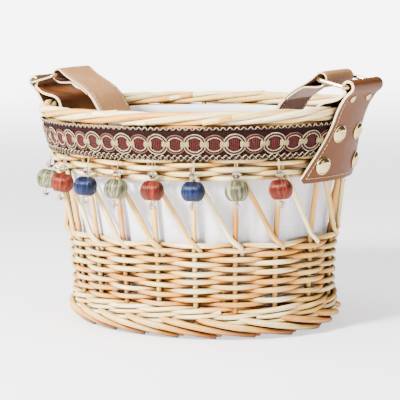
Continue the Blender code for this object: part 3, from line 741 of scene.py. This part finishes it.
N_RINGS = 2 * int(round(LEN / 0.0154 / 2))
PITCH = LEN / N_RINGS
H_BR = BRAID_Z1 - BRAID_Z0
bd = Builder()
NS = N_RINGS * 14
rows = []
vs = np.linspace(-1, 1, 13)
for v in vs:
    row = []
    for i in range(NS):
        s = LEN * i / NS
        rib = 0.00022 * math.sin(2 * math.pi * s / (PITCH / 7))
        z = zc + v * (H_BR / 2 - 0.0009)
        crown = 0.0006 * (1 - abs(v) ** 3)
        row.append(wall(braid_phi(s), z, 0.0046 + crown + rib * (0.4 + 0.6 * abs(v))))
    rows.append(row)
back = [[wall(braid_phi(LEN * i / NS), zc + v * (H_BR / 2 - 0.0010), 0.0038) for i in range(NS)] for v in (1, 0, -1)]
bd.grid(rows + back, closed_u=True, closed_v=True,
        uvs=([LEN * i / NS for i in range(NS + 1)], [0.013 * (v + 1) for v in vs] + [0.03, 0.045, 0.06]))
ground = bd.object("gimp_braid_ground", [M_GIMP])
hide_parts("braid_trim"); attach(ground, "basket")


def braid_cord(b, fn, radius, per, sides=6, tone=0.5):
    n = N_RINGS * per
    pts = []
    for i in range(n):
        s = LEN * i / n
        dz, off = fn(s)
        pts.append(wall(braid_phi(s), zc + dz, off))
    b.tube(pts, radius, sides, closed=True, tone=tone, up=(0, 0, 1))


cream, pink = Builder(), Builder()
rb, red, dk = Builder(), Builder(), Builder()
for k in range(N_RINGS):
    s0 = k * PITCH
    big = k % 2 == 0
    for j, (rw, rh) in enumerate(((0.00870, 0.00800), (0.00755, 0.00690), (0.00645, 0.00585))):
        if not big:
            rw, rh = rw * 0.97, rh * 0.92
        off = (0.0059 if big else 0.0056) + 0.00010 * j
        n = 40
        pts = []
        for i in range(n):
            a = 2 * math.pi * i / n
            wob = 1 + 0.03 * nz(math.cos(a) * 2, math.sin(a) * 2, k * 1.7)
            pts.append(wall(braid_phi(s0 + rw * wob * math.cos(a)), zc + rh * wob * math.sin(a), off))
        (dk if j == 1 else cream if big or j == 2 else pink).tube(pts, 0.00066 if j == 1 else 0.00034, 6, closed=True, up=tuple(wall_normal(braid_phi(s0), zc)))
    # ribbon passed over the crossing of this ring and the next
    s1 = (k + 0.5) * PITCH
    rows = []
    for v in np.linspace(-1, 1, 9):
        w = 0.0035 * (1 - 0.06 * v * v)
        rows.append([wall(braid_phi(s1 + w * u), zc + 0.0022 * v + 0.00025 * (u if k % 2 else -u),
                          0.0058 + 0.0009 * (1 - v ** 4) * (1 - 0.25 * u * u)) for u in np.linspace(-1, 1, 9)])
    rb.grid(rows, tone=RND.random(), uvs=([x * 0.35 for x in range(10)], [x * 0.0012 for x in range(10)]))
    # upright dark red threads seen through the ring
    for q in range(5):
        x = (q - 2) * 0.00150
        hgt = 0.0054 * math.sqrt(max(1 - (x / 0.0062) ** 2, 0.05))
        pts = [wall(braid_phi(s0 + x), zc + hgt * v, 0.0051 + 0.0005 * (1 - v * v)) for v in np.linspace(-1, 1, 9)]
        red.tube(pts, 0.00068, 6, tone=RND.random())
co = cream.object("gimp_cream_cords", [M_CREAM]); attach(co, "basket")
po = pink.object("gimp_tan_cords", [M_PINK]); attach(po, "basket")
ro = rb.object("gimp_ribbon", [M_RIBBON]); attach(ro, "basket")
md = ro.modifiers.new("ribbon", 'SOLIDIFY'); md.thickness, md.offset = 0.0003, 0.0
dko = dk.object("gimp_dark_cords", [M_DARKC]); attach(dko, "basket")
rdo = red.object("gimp_red_bars", [M_REDBAR]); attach(rdo, "basket")
# scalloped edges: one row along the top, two along the bottom, each a small looping thread
edge = Builder()
for z0, off, ph in ((H_BR / 2 - 0.0012, 0.0056, 0), (-H_BR / 2 + 0.0016, 0.0052, 0), (-H_BR / 2 + 0.0039, 0.0057, 1)):
    def f_edge(s, z0=z0, off=off, ph=ph):
        a = 2 * math.pi * s / (PITCH / 3) + ph * math.pi
        return z0 + 0.0010 * math.sin(a), off + 0.0003 * math.cos(a)
    braid_cord(edge, f_edge, 0.00036, 28, 5)
eo = edge.object("gimp_edge_loops", [M_CREAM]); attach(eo, "basket")
edge2 = Builder()
for z0, off in ((H_BR / 2 - 0.0019, 0.0054), (-H_BR / 2 + 0.0019, 0.0055), (-H_BR / 2 + 0.0035, 0.0056)):
    def f_e2(s, z0=z0, off=off):
        a = 2 * math.pi * s / (PITCH / 3) + math.pi / 2
        return z0 + 0.0007 * math.sin(a), off + 0.0004 * math.sin(a + 1)
    braid_cord(edge2, f_e2, 0.00045, 28, 5)
e2 = edge2.object("gimp_edge_red_loops", [M_DARKC]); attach(e2, "basket")

# ------------------------------------------------------------------ leather patches
def near_border(dx, dz, half=0.0, wrap=0.0):
    z = Z_BORDER + dz
    return (dx - semi_axis(z) + semi_axis(Z_BORDER), z, half, wrap)


_t = near_border(TUBE_DX, TUBE_DZ)
TUBE = wall(0.0, _t[1], _t[0])


def polyline(points):
    acc = [0.0]
    for p, q in zip(points[:-1], points[1:]):
        acc.append(acc[-1] + math.hypot(q[0] - p[0], q[1] - p[1]))
    acc = np.array(acc)

    def at(t):
        s = t * acc[-1]
        i = min(max(int(np.searchsorted(acc, s, side="right")) - 1, 0), len(points) - 2)
        f = (s - acc[i]) / max(acc[i + 1] - acc[i], 1e-9)
        return [a + (b - a) * f for a, b in zip(points[i], points[i + 1])]
    at.length = float(acc[-1])
    at.acc = acc
    return at


def smooth_points(points, times=2):
    """Corner cutting, so that the folded leather runs in curves."""
    for _ in range(times):
        out = [points[0]]
        for p, q in zip(points[:-1], points[1:]):
            out.append(tuple(a * 0.75 + b * 0.25 for a, b in zip(p, q)))
            out.append(tuple(a * 0.25 + b * 0.75 for a, b in zip(p, q)))
        out.append(points[-1])
        points = out
    return points


def patch_profile():
    h = PATCH_W / 2
    pts = [(0.0080, 0.1235, 0.0430, 1.0), (0.0080, 0.1360, 0.0372, 1.0), (0.0080, 0.1483, 0.0308, 1.0),
           (0.0081, 0.1600, 0.0258, 1.0), (0.0085, 0.1690, h, 1.0), near_border(0.0094, 0.0020, h, 0.8),
           near_border(0.0118, 0.0085, h, 0.35), near_border(0.0150, 0.0142, h, 0.0)]
    for k in range(9):
        a = math.radians(-62 + 304 * k / 8)
        pts.append(near_border(TUBE_DX + TUBE_R * math.cos(a), TUBE_DZ + TUBE_R * math.sin(a), h, 0.0))
    pts += [near_border(0.0124, 0.0152, h, 0.0), near_border(0.0080, 0.0112, h, 0.2),
            near_border(0.0030, 0.0096, h, 0.6), near_border(-0.0034, 0.0084, h, 0.9),
            near_border(-0.0078, 0.0042, h, 1.0), near_border(-0.0090, -0.0020, h, 1.0),
            (-0.0090, 0.1670, h, 1.0), (-0.0090, 0.1580, h, 1.0)]
    return smooth_points(pts, 2)


PATCH_AT = polyline(patch_profile())


def patch_point(t, x, lift=0.0):
    """t along the patch, x across it from -1 to 1, lift outward from its middle layer."""
    def raw(t, x):
        off, z, half, wrap = PATCH_AT(min(max(t, 0), 1))
        y = half * x
        flat = wall(0.0, z, off)
        g_ = B_FOOT + (B_RIM - B_FOOT) * (z / H_WALL) ** FLARE + off
        bent = wall(math.asin(max(-1.0, min(1.0, y / g_))), z, off)
        return Vector((flat.x, y, flat.z)).lerp(Vector((bent.x, y, bent.z)), wrap)
    p = raw(t, x)
    if lift:
        e = 0.004
        n = (raw(min(t + e, 1), x) - raw(max(t - e, 0), x))
        w = raw(t, min(x + 0.05, 1)) - raw(t, max(x - 0.05, -1))
        p = p + w.cross(n).normalized() * lift
    return p


def mirror(p, s):
    return Vector((s * p[0], p[1], p[2]))


def leather_patch(side):
    s = 1.0 if side == "right" else -1.0
    b = Builder()
    nt, nx = 150, 22
    rows = []
    for i in range(nt + 1):
        t = i / nt
        row = []
        for j in range(nx + 1):
            x = -1 + 2 * j / nx
            tt = t
            if t < 0.03:                              # rounded lower corners
                tt = max(t, 0.0 + 0.022 * max(0, (abs(x) - 0.90) / 0.10) ** 2)
            if t > 0.985:
                tt = min(t, 1.0 - 0.012 * max(0, (abs(x) - 0.88) / 0.12) ** 2)
            row.append(mirror(patch_point(tt, x), s))
        rows.append(row)
    b.grid(rows, uvs=([j * 0.003 for j in range(nx + 2)], [i * 0.001 for i in range(nt + 2)]))
    ob = b.object("leather_patch_skin_" + side, [M_PATCH, M_EDGE])
    md = ob.modifiers.new("leather", 'SOLIDIFY')
    md.thickness, md.offset, md.material_offset_rim = PATCH_T, 0.0, 1
    md.use_even_offset = True
    bv = ob.modifiers.new("edge", 'BEVEL')
    bv.width, bv.segments, bv.limit_method, bv.angle_limit = 0.00045, 2, 'ANGLE', math.radians(50)
    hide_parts("leather_patch_" + side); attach(ob, "basket")
    # stitches along the edges and the lower end
    st = Builder()
    L = PATCH_AT.length
    line = []
    inset = 0.0036
    t_bot = inset / L
    t_top = 0.46
    n = 300
    for i in range(n + 1):
        t = t_top + (t_bot - t_top) * i / n
        line.append((t, -1 + inset / PATCH_AT(t)[2]))
    for i in range(1, 120):
        line.append((t_bot, (-1 + inset / PATCH_AT(t_bot)[2]) * (1 - 2 * i / 120)))
    for i in range(n + 1):
        t = t_bot + (t_top - t_bot) * i / n
        line.append((t, 1 - inset / PATCH_AT(t)[2]))
    P = [patch_point(t, x, PATCH_T / 2 + 0.0001) for t, x in line]
    acc = [0.0]
    for p, q in zip(P[:-1], P[1:]):
        acc.append(acc[-1] + (q - p).length)
    acc = np.array(acc)
    pitch, ln_ = 0.0034, 0.0025
    k = 0
    while k * pitch + ln_ < acc[-1]:
        pts = []
        for q in range(6):
            d = k * pitch + ln_ * q / 5
            i = min(int(np.searchsorted(acc, d, side="right")) - 1, len(P) - 2)
            f = (d - acc[i]) / max(acc[i + 1] - acc[i], 1e-9)
            t, x = [a + (c - a) * f for a, c in zip(line[i], line[i + 1])]
            pts.append(mirror(patch_point(t, x, PATCH_T / 2 - 0.00010 + 0.00028 * math.sin(math.pi * q / 5)), s))
        st.tube(pts, 0.00030, 6)
        k += 1
    so = st.object("patch_stitches_" + side, [M_STITCH])
    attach(so, "basket")


for side in ("left", "right"):
    leather_patch(side)

# ------------------------------------------------------------------ studs and rivets
DOME = [(0.0, 0.0033), (0.0012, 0.00326), (0.0026, 0.0031), (0.0040, 0.0027), (0.0052, 0.0021), (0.0060, 0.0014),
        (0.0064, 0.0008), (0.0066, 0.00055), (0.0070, 0.00055), (0.00725, 0.00035), (0.0073, 0.0), (0.0071, -0.0003), (0.0, -0.0003)]
HEAD = [(0.0, 0.0011), (0.0014, 0.00106), (0.0025, 0.0009), (0.0031, 0.0005), (0.0032, 0.0002), (0.0031, -0.0002), (0.0, -0.0002)]


def placed(p, n):
    n = Vector(n).normalized()
    return Matrix.Translation(p) @ Vector((0, 0, 1)).rotation_difference(n).to_matrix().to_4x4()


STUDS = (("upper_front", -0.0140, 0.1610), ("upper_back", 0.0140, 0.1610),
         ("lower_front", -0.0245, 0.1365), ("lower_back", 0.0245, 0.1365))
for side in ("left", "right"):
    s = 1.0 if side == "right" else -1.0
    for label, y, z in STUDS:
        phi = math.asin(y / (wall(math.pi / 2, z).y + 0.0072))
        n = wall_normal(phi, z)
        p = wall(phi, z, 0.0081) + n * (PATCH_T / 2 + 0.0003)
        b = Builder()
        b.lathe(DOME, placed(mirror(p, s), mirror(n, s)), 40)
        o = b.object("dome_stud_%s_%s" % (side, label), [M_BRASS])
        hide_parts("stud_%s_%s" % (side, label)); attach(o, "basket")
    for label, y in (("front", -0.0125), ("back", 0.0125)):
        l0, l1 = near_border(0.0118, 0.0085), near_border(0.0150, 0.0142)
        a, c = wall(0.0, l0[1], l0[0]), wall(0.0, l1[1], l1[0])
        d = (c - a).normalized()
        n = Vector((d.z, 0, -d.x))
        p = (a + c) / 2 + n * (PATCH_T / 2 + 0.0001)
        p.y = y
        b = Builder()
        b.lathe(HEAD, placed(mirror(p, s), mirror(n, s)), 28)
        o = b.object("flat_rivet_%s_%s" % (side, label), [M_BRASS])
        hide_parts("fold_rivet_%s_%s" % (side, label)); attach(o, "basket")

# ------------------------------------------------------------------ rings
RD = Vector((-math.cos(RING_TILT), 0.0, math.sin(RING_TILT)))
for side in ("left", "right"):
    s = 1.0 if side == "right" else -1.0
    r, hw = 0.0035, RING_WIDTH / 2
    pts = []
    corners = ((r, -hw + r, 180), (RING_DEPTH - r, -hw + r, 270), (RING_DEPTH - r, hw - r, 0), (r, hw - r, 90))
    for cx, cy, a0 in corners:
        for k in range(9):
            a = math.radians(a0 + 90 * k / 8)
            u, y = cx + r * math.cos(a), cy + r * math.sin(a)
            p = TUBE + RD * u
            pts.append(mirror(Vector((p.x, y, p.z)), s))
    b = Builder()
    b.tube(pts, WIRE_R, 18, closed=True, up=tuple(mirror(Vector((-RD.z, 0, RD.x)), s)))
    o = b.object("ring_wire_" + side, [M_RING])
    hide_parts("ring_" + side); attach(o, "ring_" + side)

# ------------------------------------------------------------------ strap
BARR = TUBE + RD * RING_DEPTH
bar = Vector((-BARR.x, 0.0, BARR.z))
d1 = Vector((math.cos(S1_ANG), 0, math.sin(S1_ANG)))
n1 = Vector((-d1.z, 0, d1.x))
lowf = LOOP_R + LEATHER_T / 2 - STRAP_T
h12 = bar + d1 * S1_LEN + n1 * lowf
d2 = Vector((math.cos(S2_ANG), 0, math.sin(S2_ANG)))
h23 = h12 + d2 * S2_LEN
d3 = Vector((math.cos(S3_ANG), 0, math.sin(S3_ANG)))
h34 = h23 + d3 * S3_LEN
MIDZ = h34.z + STRAP_T / 2


def normal_of(d):
    return Vector((-d.z, 0, d.x))


def corner(pa, da, pb, db):
    """Where two centre lines meet, in the X-Z plane."""
    cr = da.x * db.z - da.z * db.x
    if abs(cr) < 1e-6:
        return pb
    t = ((pb.x - pa.x) * db.z - (pb.z - pa.z) * db.x) / cr
    return pa + da * t


half_n = STRAP_T / 2
c1 = bar + n1 * (lowf + half_n)
c2 = h12 + normal_of(d2) * half_n
c3 = h23 + normal_of(d3) * half_n
c4 = Vector((h34.x, 0, MIDZ))
k12, k23, k34 = corner(c1, d1, c2, d2), corner(c2, d2, c3, d3), corner(c3, d3, c4, Vector((1, 0, 0)))
ctrl = [c1 + d1 * 0.0352, k12, k23, k34, Vector((0, 0, MIDZ))]


def rounded(ctrl, cut):
    """A polyline whose corners are rounded by quadratic curves reaching cut along each side."""
    out = [ctrl[0]]
    marks = []
    for i in range(1, len(ctrl) - 1):
        a, k, b = ctrl[i - 1], ctrl[i], ctrl[i + 1]
        p = k + (a - k).normalized() * min(cut[i - 1], (a - k).length * 0.5)
        q = k + (b - k).normalized() * min(cut[i - 1], (b - k).length * 0.5)
        for j in range(13):
            t = j / 12
            out.append(p * (1 - t) ** 2 + k * (2 * t * (1 - t)) + q * t * t)
        marks.append((p, k, q))
    out.append(ctrl[-1])
    return out, marks


path, marks = rounded(ctrl, (0.0045, 0.0125, 0.0125))
SP = polyline([(p.x, p.z) for p in path])


ARCH = 0.0048


def on_path(s):
    x, z = SP(s / SP.length)
    lift = ARCH * math.cos(math.pi / 2 * min(max(s, 0.0) / 0.036, 1.0)) ** 2
    return Vector((x, 0, z)) + n1 * lift


def nearest_s(p):
    best = min(range(1201), key=lambda i: (on_path(SP.length * i / 1200) - p).length)
    return SP.length * best / 1200


CUTS = [0.0] + [nearest_s((marks[i][1] + marks[i + 1][1]) / 2) for i in range(2)] + \
    [nearest_s(Vector((marks[2][1].x + 0.016, 0, MIDZ)))] + [SP.length]


def cross_section(w, t):
    """Rounded rectangle, closed, as (across, up) with top first; second value tells the face it is on."""
    r = min(t * 0.36, 0.0011)
    pts = []
    for cx, cy, a0 in ((w / 2 - r, t / 2 - r, 0), (-w / 2 + r, t / 2 - r, 90), (-w / 2 + r, -t / 2 + r, 180), (w / 2 - r, -t / 2 + r, 270)):
        for k in range(4):
            a = math.radians(a0 + 30 * k)
            pts.append((cx + r * math.cos(a), cy + r * math.sin(a)))
        if a0 == 0:
            pts += [(w / 2 - r - (w - 2 * r) * q / 8, t / 2 + 0.00025 * math.sin(math.pi * q / 8)) for q in range(1, 8)]
        if a0 == 180:
            pts += [(-w / 2 + r + (w - 2 * r) * q / 8, -t / 2) for q in range(1, 8)]
    return pts


def sweep(b, frames, w, t, cap=(True, True), u0=0.0):
    """frames: (point, up normal) in the X-Z plane; materials by face: skin on top, flesh side below, edges."""
    sec = cross_section(w, t)
    m = len(sec)
    rows, lens = [], [u0]
    for i, (p, nrm) in enumerate(frames):
        rows.append([Vector((p.x, 0, p.z)) + Vector((0, y, 0)) + nrm * z for y, z in sec])
        if i:
            lens.append(lens[-1] + (frames[i][0] - frames[i - 1][0]).length)
    acc = [0.0]
    for p, q in zip(sec, sec[1:] + sec[:1]):
        acc.append(acc[-1] + math.hypot(p[0] - q[0], p[1] - q[1]))
    start = len(b.f)
    base = b.grid(rows, closed_u=True, uvs=(acc, lens))
    for fi in range(start, len(b.f)):
        j = (fi - start) % m
        y0, z0 = sec[j]
        y1, z1 = sec[(j + 1) % m]
        zz = (z0 + z1) / 2
        side = abs((y0 + y1) / 2) > w / 2 - 0.0009 and abs(zz) < t * 0.36
        b.mat[fi] = 1 if side else (0 if zz > 0 else 2)
    if cap[0]:
        b.f.append(tuple(base + j for j in range(m))); b.uv.append([(0, 0)] * m); b.mat.append(1)
    if cap[1]:
        o = base + (len(rows) - 1) * m
        b.f.append(tuple(o + j for j in reversed(range(m)))); b.uv.append([(0, 0)] * m); b.mat.append(1)


def stitches_on(b, fn, s0, s1, w, t, faces=(1,), phase=0.0, mat=3):
    """Two rows of stitches along a strip; fn(s) gives (point, up normal)."""
    pitch, ln_ = 0.0034, 0.0025
    k = math.ceil((s0 - phase) / pitch)
    while phase + k * pitch + ln_ <= s1 + 1e-6:
        for y in (-w / 2 + 0.0032, w / 2 - 0.0032):
            for face in faces:
                pts = []
                for q in range(6):
                    p, nrm = fn(phase + k * pitch + ln_ * q / 5)
                    pts.append(p + Vector((0, y, 0)) + nrm * face * (t / 2 - 0.00012 + 0.00030 * math.sin(math.pi * q / 5)))
                b.tube(pts, 0.00030, 6, mat=mat)
        k += 1


def path_frame(s):
    s = min(max(s, 0.0), SP.length)
    p = on_path(s)
    a, c = on_path(max(s - 0.0012, 0)), on_path(min(s + 0.0012, SP.length))
    d = (c - a).normalized()
    return p, normal_of(d)


def mirror_mesh(ob):
    me = ob.data
    n = len(me.vertices)
    co = np.empty(n * 3, np.float32)
    me.vertices.foreach_get("co", co)
    co[0::3] *= -1
    me.vertices.foreach_set("co", co)
    me.flip_normals()
    me.update()


LINKS = ("strap_end", "strap_shoulder", "strap_slope", "strap_middle")
SMATS = [M_LEATHER, M_EDGE, M_UNDER, M_STITCH]
for side in ("left", "right"):
    s = 1.0 if side == "right" else -1.0
    # end: skin leaf, fold round the ring bar, return flap
    lp = [(0.0352, LOOP_R), (0.0, LOOP_R)]
    for k in range(1, 12):
        a = math.radians(90 + 180 * k / 12)
        lp.append((LOOP_R * math.cos(a), LOOP_R * math.sin(a)))
    under = LOOP_R - LEATHER_T - 0.0002
    lp += [(0.0, -LOOP_R), (0.0050, -0.0042), (0.0100, -0.0008), (0.0150, under - 0.0003), (0.0190, under), (0.0340, under)]
    lp = smooth_points(lp, 2)
    AT = polyline(lp)

    def loop_frame(q):
        q = min(max(q, 0.0), AT.length)
        def pt(v):
            u, n_ = AT(min(max(v / AT.length, 0), 1))
            return bar + d1 * u + n1 * (n_ + ARCH * math.sin(math.pi / 2 * min(max(u - 0.001, 0.0) / 0.0342, 1.0)) ** 2)
        p = pt(q)
        d = (pt(min(q + 0.0006, AT.length)) - pt(max(q - 0.0006, 0))).normalized()
        return p, Vector((d.z, 0, -d.x))
    b = Builder()
    nf = 130
    sweep(b, [loop_frame(AT.length * i / nf) for i in range(nf + 1)], STRAP_W, LEATHER_T)
    stitches_on(b, loop_frame, 0.001, 0.036, STRAP_W, LEATHER_T)
    stitches_on(b, loop_frame, AT.length - 0.019, AT.length - 0.001, STRAP_W, LEATHER_T)
    # a row of stitches across the strap holds the fold shut behind the ring
    for k in range(11):
        y = -0.0165 + 0.0033 * k
        p, nrm = loop_frame(0.0352 - 0.0165)
        b.tube([p + Vector((0, y - 0.0012 + 0.0024 * q / 4, 0)) + nrm * (LEATHER_T / 2 - 0.0001 + 0.0003 * math.sin(math.pi * q / 4))
                for q in range(5)], 0.00030, 6, mat=3)
    ob = b.object("strap_loop_" + side, SMATS, angle=60)
    if side == "right":
        mirror_mesh(ob)
    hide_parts("strap_end_" + side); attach(ob, "strap_end_" + side)
    # the strap beyond the fold, in stretches that each cross one hinge
    for i in range(4):
        b = Builder()
        s0, s1 = CUTS[i], CUTS[i + 1]
        m_ = max(int((s1 - s0) / 0.0011), 6)
        fr = [path_frame(s0 + (s1 - s0) * q / m_) for q in range(m_ + 1)]
        if i == 3:
            fr[-1] = (Vector((0.0, 0, MIDZ)), Vector((0, 0, 1)))
        sweep(b, fr, STRAP_W, STRAP_T, (i == 0, False), s0)
        stitches_on(b, path_frame, s0, s1, STRAP_W, STRAP_T, (1, -1), 0.0005)
        ob = b.object("strap_%s_%s" % (("rise", "bend", "sag", "centre")[i], side), SMATS, angle=60)
        if side == "right":
            mirror_mesh(ob)
        if i < 3:
            p, k, q = marks[i]
            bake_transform(ob)
        else:
            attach(ob, "strap_middle_" + side)
        if i > 0:
            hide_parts(LINKS[i] + "_" + side)

# ------------------------------------------------------------------ bead drops
ANG = even_angles(N_DROPS, 0.5 * (BRAID_Z0 + BRAID_Z1), shift=-0.006)
COLOURS = ("green", "red", "navy")
kept = 0
half_patch = math.asin(0.0550 / (B_RIM + DROP_OFF))
for k, a in enumerate(ANG):
    if abs(math.sin(a)) < math.sin(half_patch) or (math.cos(a) > 0.0 and 0.0 < math.sin(a) < 0.64):
        continue
    kept += 1
    name = "bead_drop_%02d" % kept
    hue = COLOURS[(k if k < N_DROPS // 2 else k - N_DROPS) % 3]
    top = wall(a, BRAID_Z0 - 0.0006, DROP_OFF)
    out = Vector((math.cos(a) * B_RIM, math.sin(a) * A_RIM, 0.0)).normalized()
    upv = (Vector((0, 0, 1)) * math.cos(DROP_TILT) - out * math.sin(DROP_TILT)).normalized()
    spin = Matrix.Rotation(RND.uniform(0, 6.28), 4, 'Z')
    M = placed(top, upv) @ spin
    # thread-wound ball: ribs of thread pole to pole, drawn in at the holes
    b = Builder()
    prof = []
    R = BALL_R
    n = 26
    prof.append((0.0, -0.0222 + R * 0.60))
    for i in range(n + 1):
        th = math.radians(-82 + 164 * i / n)
        rr = R * math.cos(th) ** 0.86
        zz = R * 0.93 * math.sin(th)
        dimple = 0.28 * R * max(0.0, (abs(math.sin(th)) - 0.86) / 0.14) ** 1.6
        prof.append((rr, -0.0222 + zz - math.copysign(dimple, zz)))
    prof[1:] = prof[1:][::-1]
    prof.append((0.0, -0.0222 - R * 0.60))
    b.lathe(prof, Matrix.Identity(4), 120)
    V = np.array(b.v)
    ang = np.arctan2(V[:, 1], V[:, 0])
    rad = np.hypot(V[:, 0], V[:, 1])
    rib = 0.00013 * np.sin(ang * 34) + np.array([0.00012 * nz(math.cos(t) * 9, math.sin(t) * 9, k) for t in ang])
    sc = 1 + rib / np.maximum(rad, 0.002)
    V[:, 0] *= sc; V[:, 1] *= sc
    b.v = [tuple(M @ Vector(p)) for p in V]
    ball = b.object("silk_ball_%02d" % kept, [SILK[hue]])
    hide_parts(name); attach(ball, name)
    # clear glass beads above and below
    gb = Builder()
    for zc_, r in ((-0.0100, 0.0034), (-0.0336, 0.0030)):
        pr = [(0.0, zc_ + r * 0.86)]
        for i in range(15):
            th = math.radians(76 - 152 * i / 14)
            pr.append((r * math.cos(th) * (1 + 0.03 * math.cos(6 * th)), zc_ + r * 0.94 * math.sin(th)))
        pr.append((0.0, zc_ - r * 0.86))
        gb.lathe(pr, M, 24)
    go = gb.object("glass_beads_%02d" % kept, [M_GLASS], angle=50)
    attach(go, name)
    # doubled thread from the braid's edge through the beads, with its turn under the last one
    tb = Builder()
    for sx in (-1, 1):
        pts = []
        for i in range(11):
            t = i / 10
            z = 0.0012 - 0.0090 * t
            pts.append(M @ Vector((sx * 0.0009 * math.sin(math.pi * min(t * 1.1, 1)) + sx * 0.0003, 0, z)))
        tb.tube(pts, 0.00028, 6)
    tb.tube([M @ Vector((0, 0, -0.0030 - 0.0100 * i / 6)) for i in range(7)], 0.00035, 6)
    tb.tube([M @ Vector((0, 0, -0.0290 - 0.0062 * i / 6)) for i in range(7)], 0.00032, 6)
    pts = [M @ Vector((0.0009 * math.sin(2 * math.pi * i / 12), 0, -0.0364 + 0.0005 * math.cos(2 * math.pi * i / 12))) for i in range(12)]
    tb.tube(pts, 0.0003, 6, closed=True)
    to = tb.object("drop_thread_%02d" % kept, [M_CREAM])
    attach(to, name)

# ------------------------------------------------------------------ floor, light, camera
st = Mat("studio_paper")
n = st.noise(st.coords((1, 1, 1), "Object"), 3.0, 3.0)
st.color(st.mix((0.80, 0.79, 0.81), (0.81, 0.80, 0.82), n))
st.set(Roughness=0.9)
pos = st.node("ShaderNodeVectorMath", operation='LENGTH')
tc = st.node("ShaderNodeTexCoord")
st.link(tc.outputs["Object"], pos.inputs[0])
mr = st.node("ShaderNodeMapRange")
mr.interpolation_type = 'SMOOTHSTEP'
for k_, v_ in (("From Min", 0.6), ("From Max", 3.2), ("To Min", 1.25), ("To Max", 7.0)):
    mr.inputs[k_].default_value = v_
st.link(pos.outputs["Value"], mr.inputs["Value"])
st.link(mr.outputs["Result"], st.p.inputs["Emission Strength"])
st.p.inputs["Emission Color"].default_value = (0.975, 0.945, 1.0, 1)
b = Builder()
AZ = math.radians(34)
view_dir = Vector((-math.sin(AZ), math.cos(AZ), 0))     # from the camera to the object
right = Vector((math.cos(AZ), math.sin(AZ), 0))
radii = (0.0001, 0.2, 0.5, 1.0, 2.0, 4.0, 8.0, 16.0, 30.0)
rows = [[Vector((r * math.cos(2 * math.pi * i / 48), r * math.sin(2 * math.pi * i / 48), -0.0001)) for i in range(48)] for r in radii]
b.grid(rows, closed_u=True)
sweep_ob = b.object("studio_floor", [st.m], smooth=False)


def area(name, loc, target, size, power, col=(1, 1, 1)):
    l = bpy.data.lights.new(name, 'AREA')
    l.shape, l.size, l.energy, l.color = 'DISK', size, power, col
    o = bpy.data.objects.new(name, l)
    o.location = loc
    o.rotation_mode = 'QUATERNION'
    o.rotation_quaternion = (Vector(target) - Vector(loc)).to_track_quat('-Z', 'Y')
    bpy.context.scene.collection.objects.link(o)
    return o


def at(u, x, z):
    return -view_dir * u + right * x + Vector((0, 0, z))


area("key", at(0.85, -0.95, 0.95), (0, 0, 0.10), 0.36, 122.0, (1.0, 0.985, 0.96))
area("fill", at(1.1, 0.95, 0.55), (0, 0, 0.10), 0.9, 3.5, (0.96, 0.98, 1.0))
area("top", at(-0.05, -0.1, 1.35), (0, 0, 0.10), 0.9, 19.0)
w = bpy.data.worlds.new("studio")
w.use_nodes = True
w.node_tree.nodes["Background"].inputs["Color"].default_value = (0.93, 0.95, 1.0, 1)
w.node_tree.nodes["Background"].inputs["Strength"].default_value = 0.16
bpy.context.scene.world = w

cam = bpy.data.cameras.new("camera")
cam.lens = 149.8
cam.sensor_width = 36.0
cam.clip_start = 0.05
co_ = bpy.data.objects.new("camera", cam)
bpy.context.scene.collection.objects.link(co_)
EL = 0.136
D = 1.395
target = Vector((0, 0, 0.0990))
co_.location = target - view_dir * (D * math.cos(EL)) + Vector((0, 0, D * math.sin(EL)))
co_.rotation_mode = 'QUATERNION'
co_.rotation_quaternion = (target - co_.location).to_track_quat('-Z', 'Y') @ Matrix.Rotation(math.radians(-1.5), 3, 'Z').to_quaternion()
bpy.context.scene.camera = co_

bpy.context.view_layer.update()
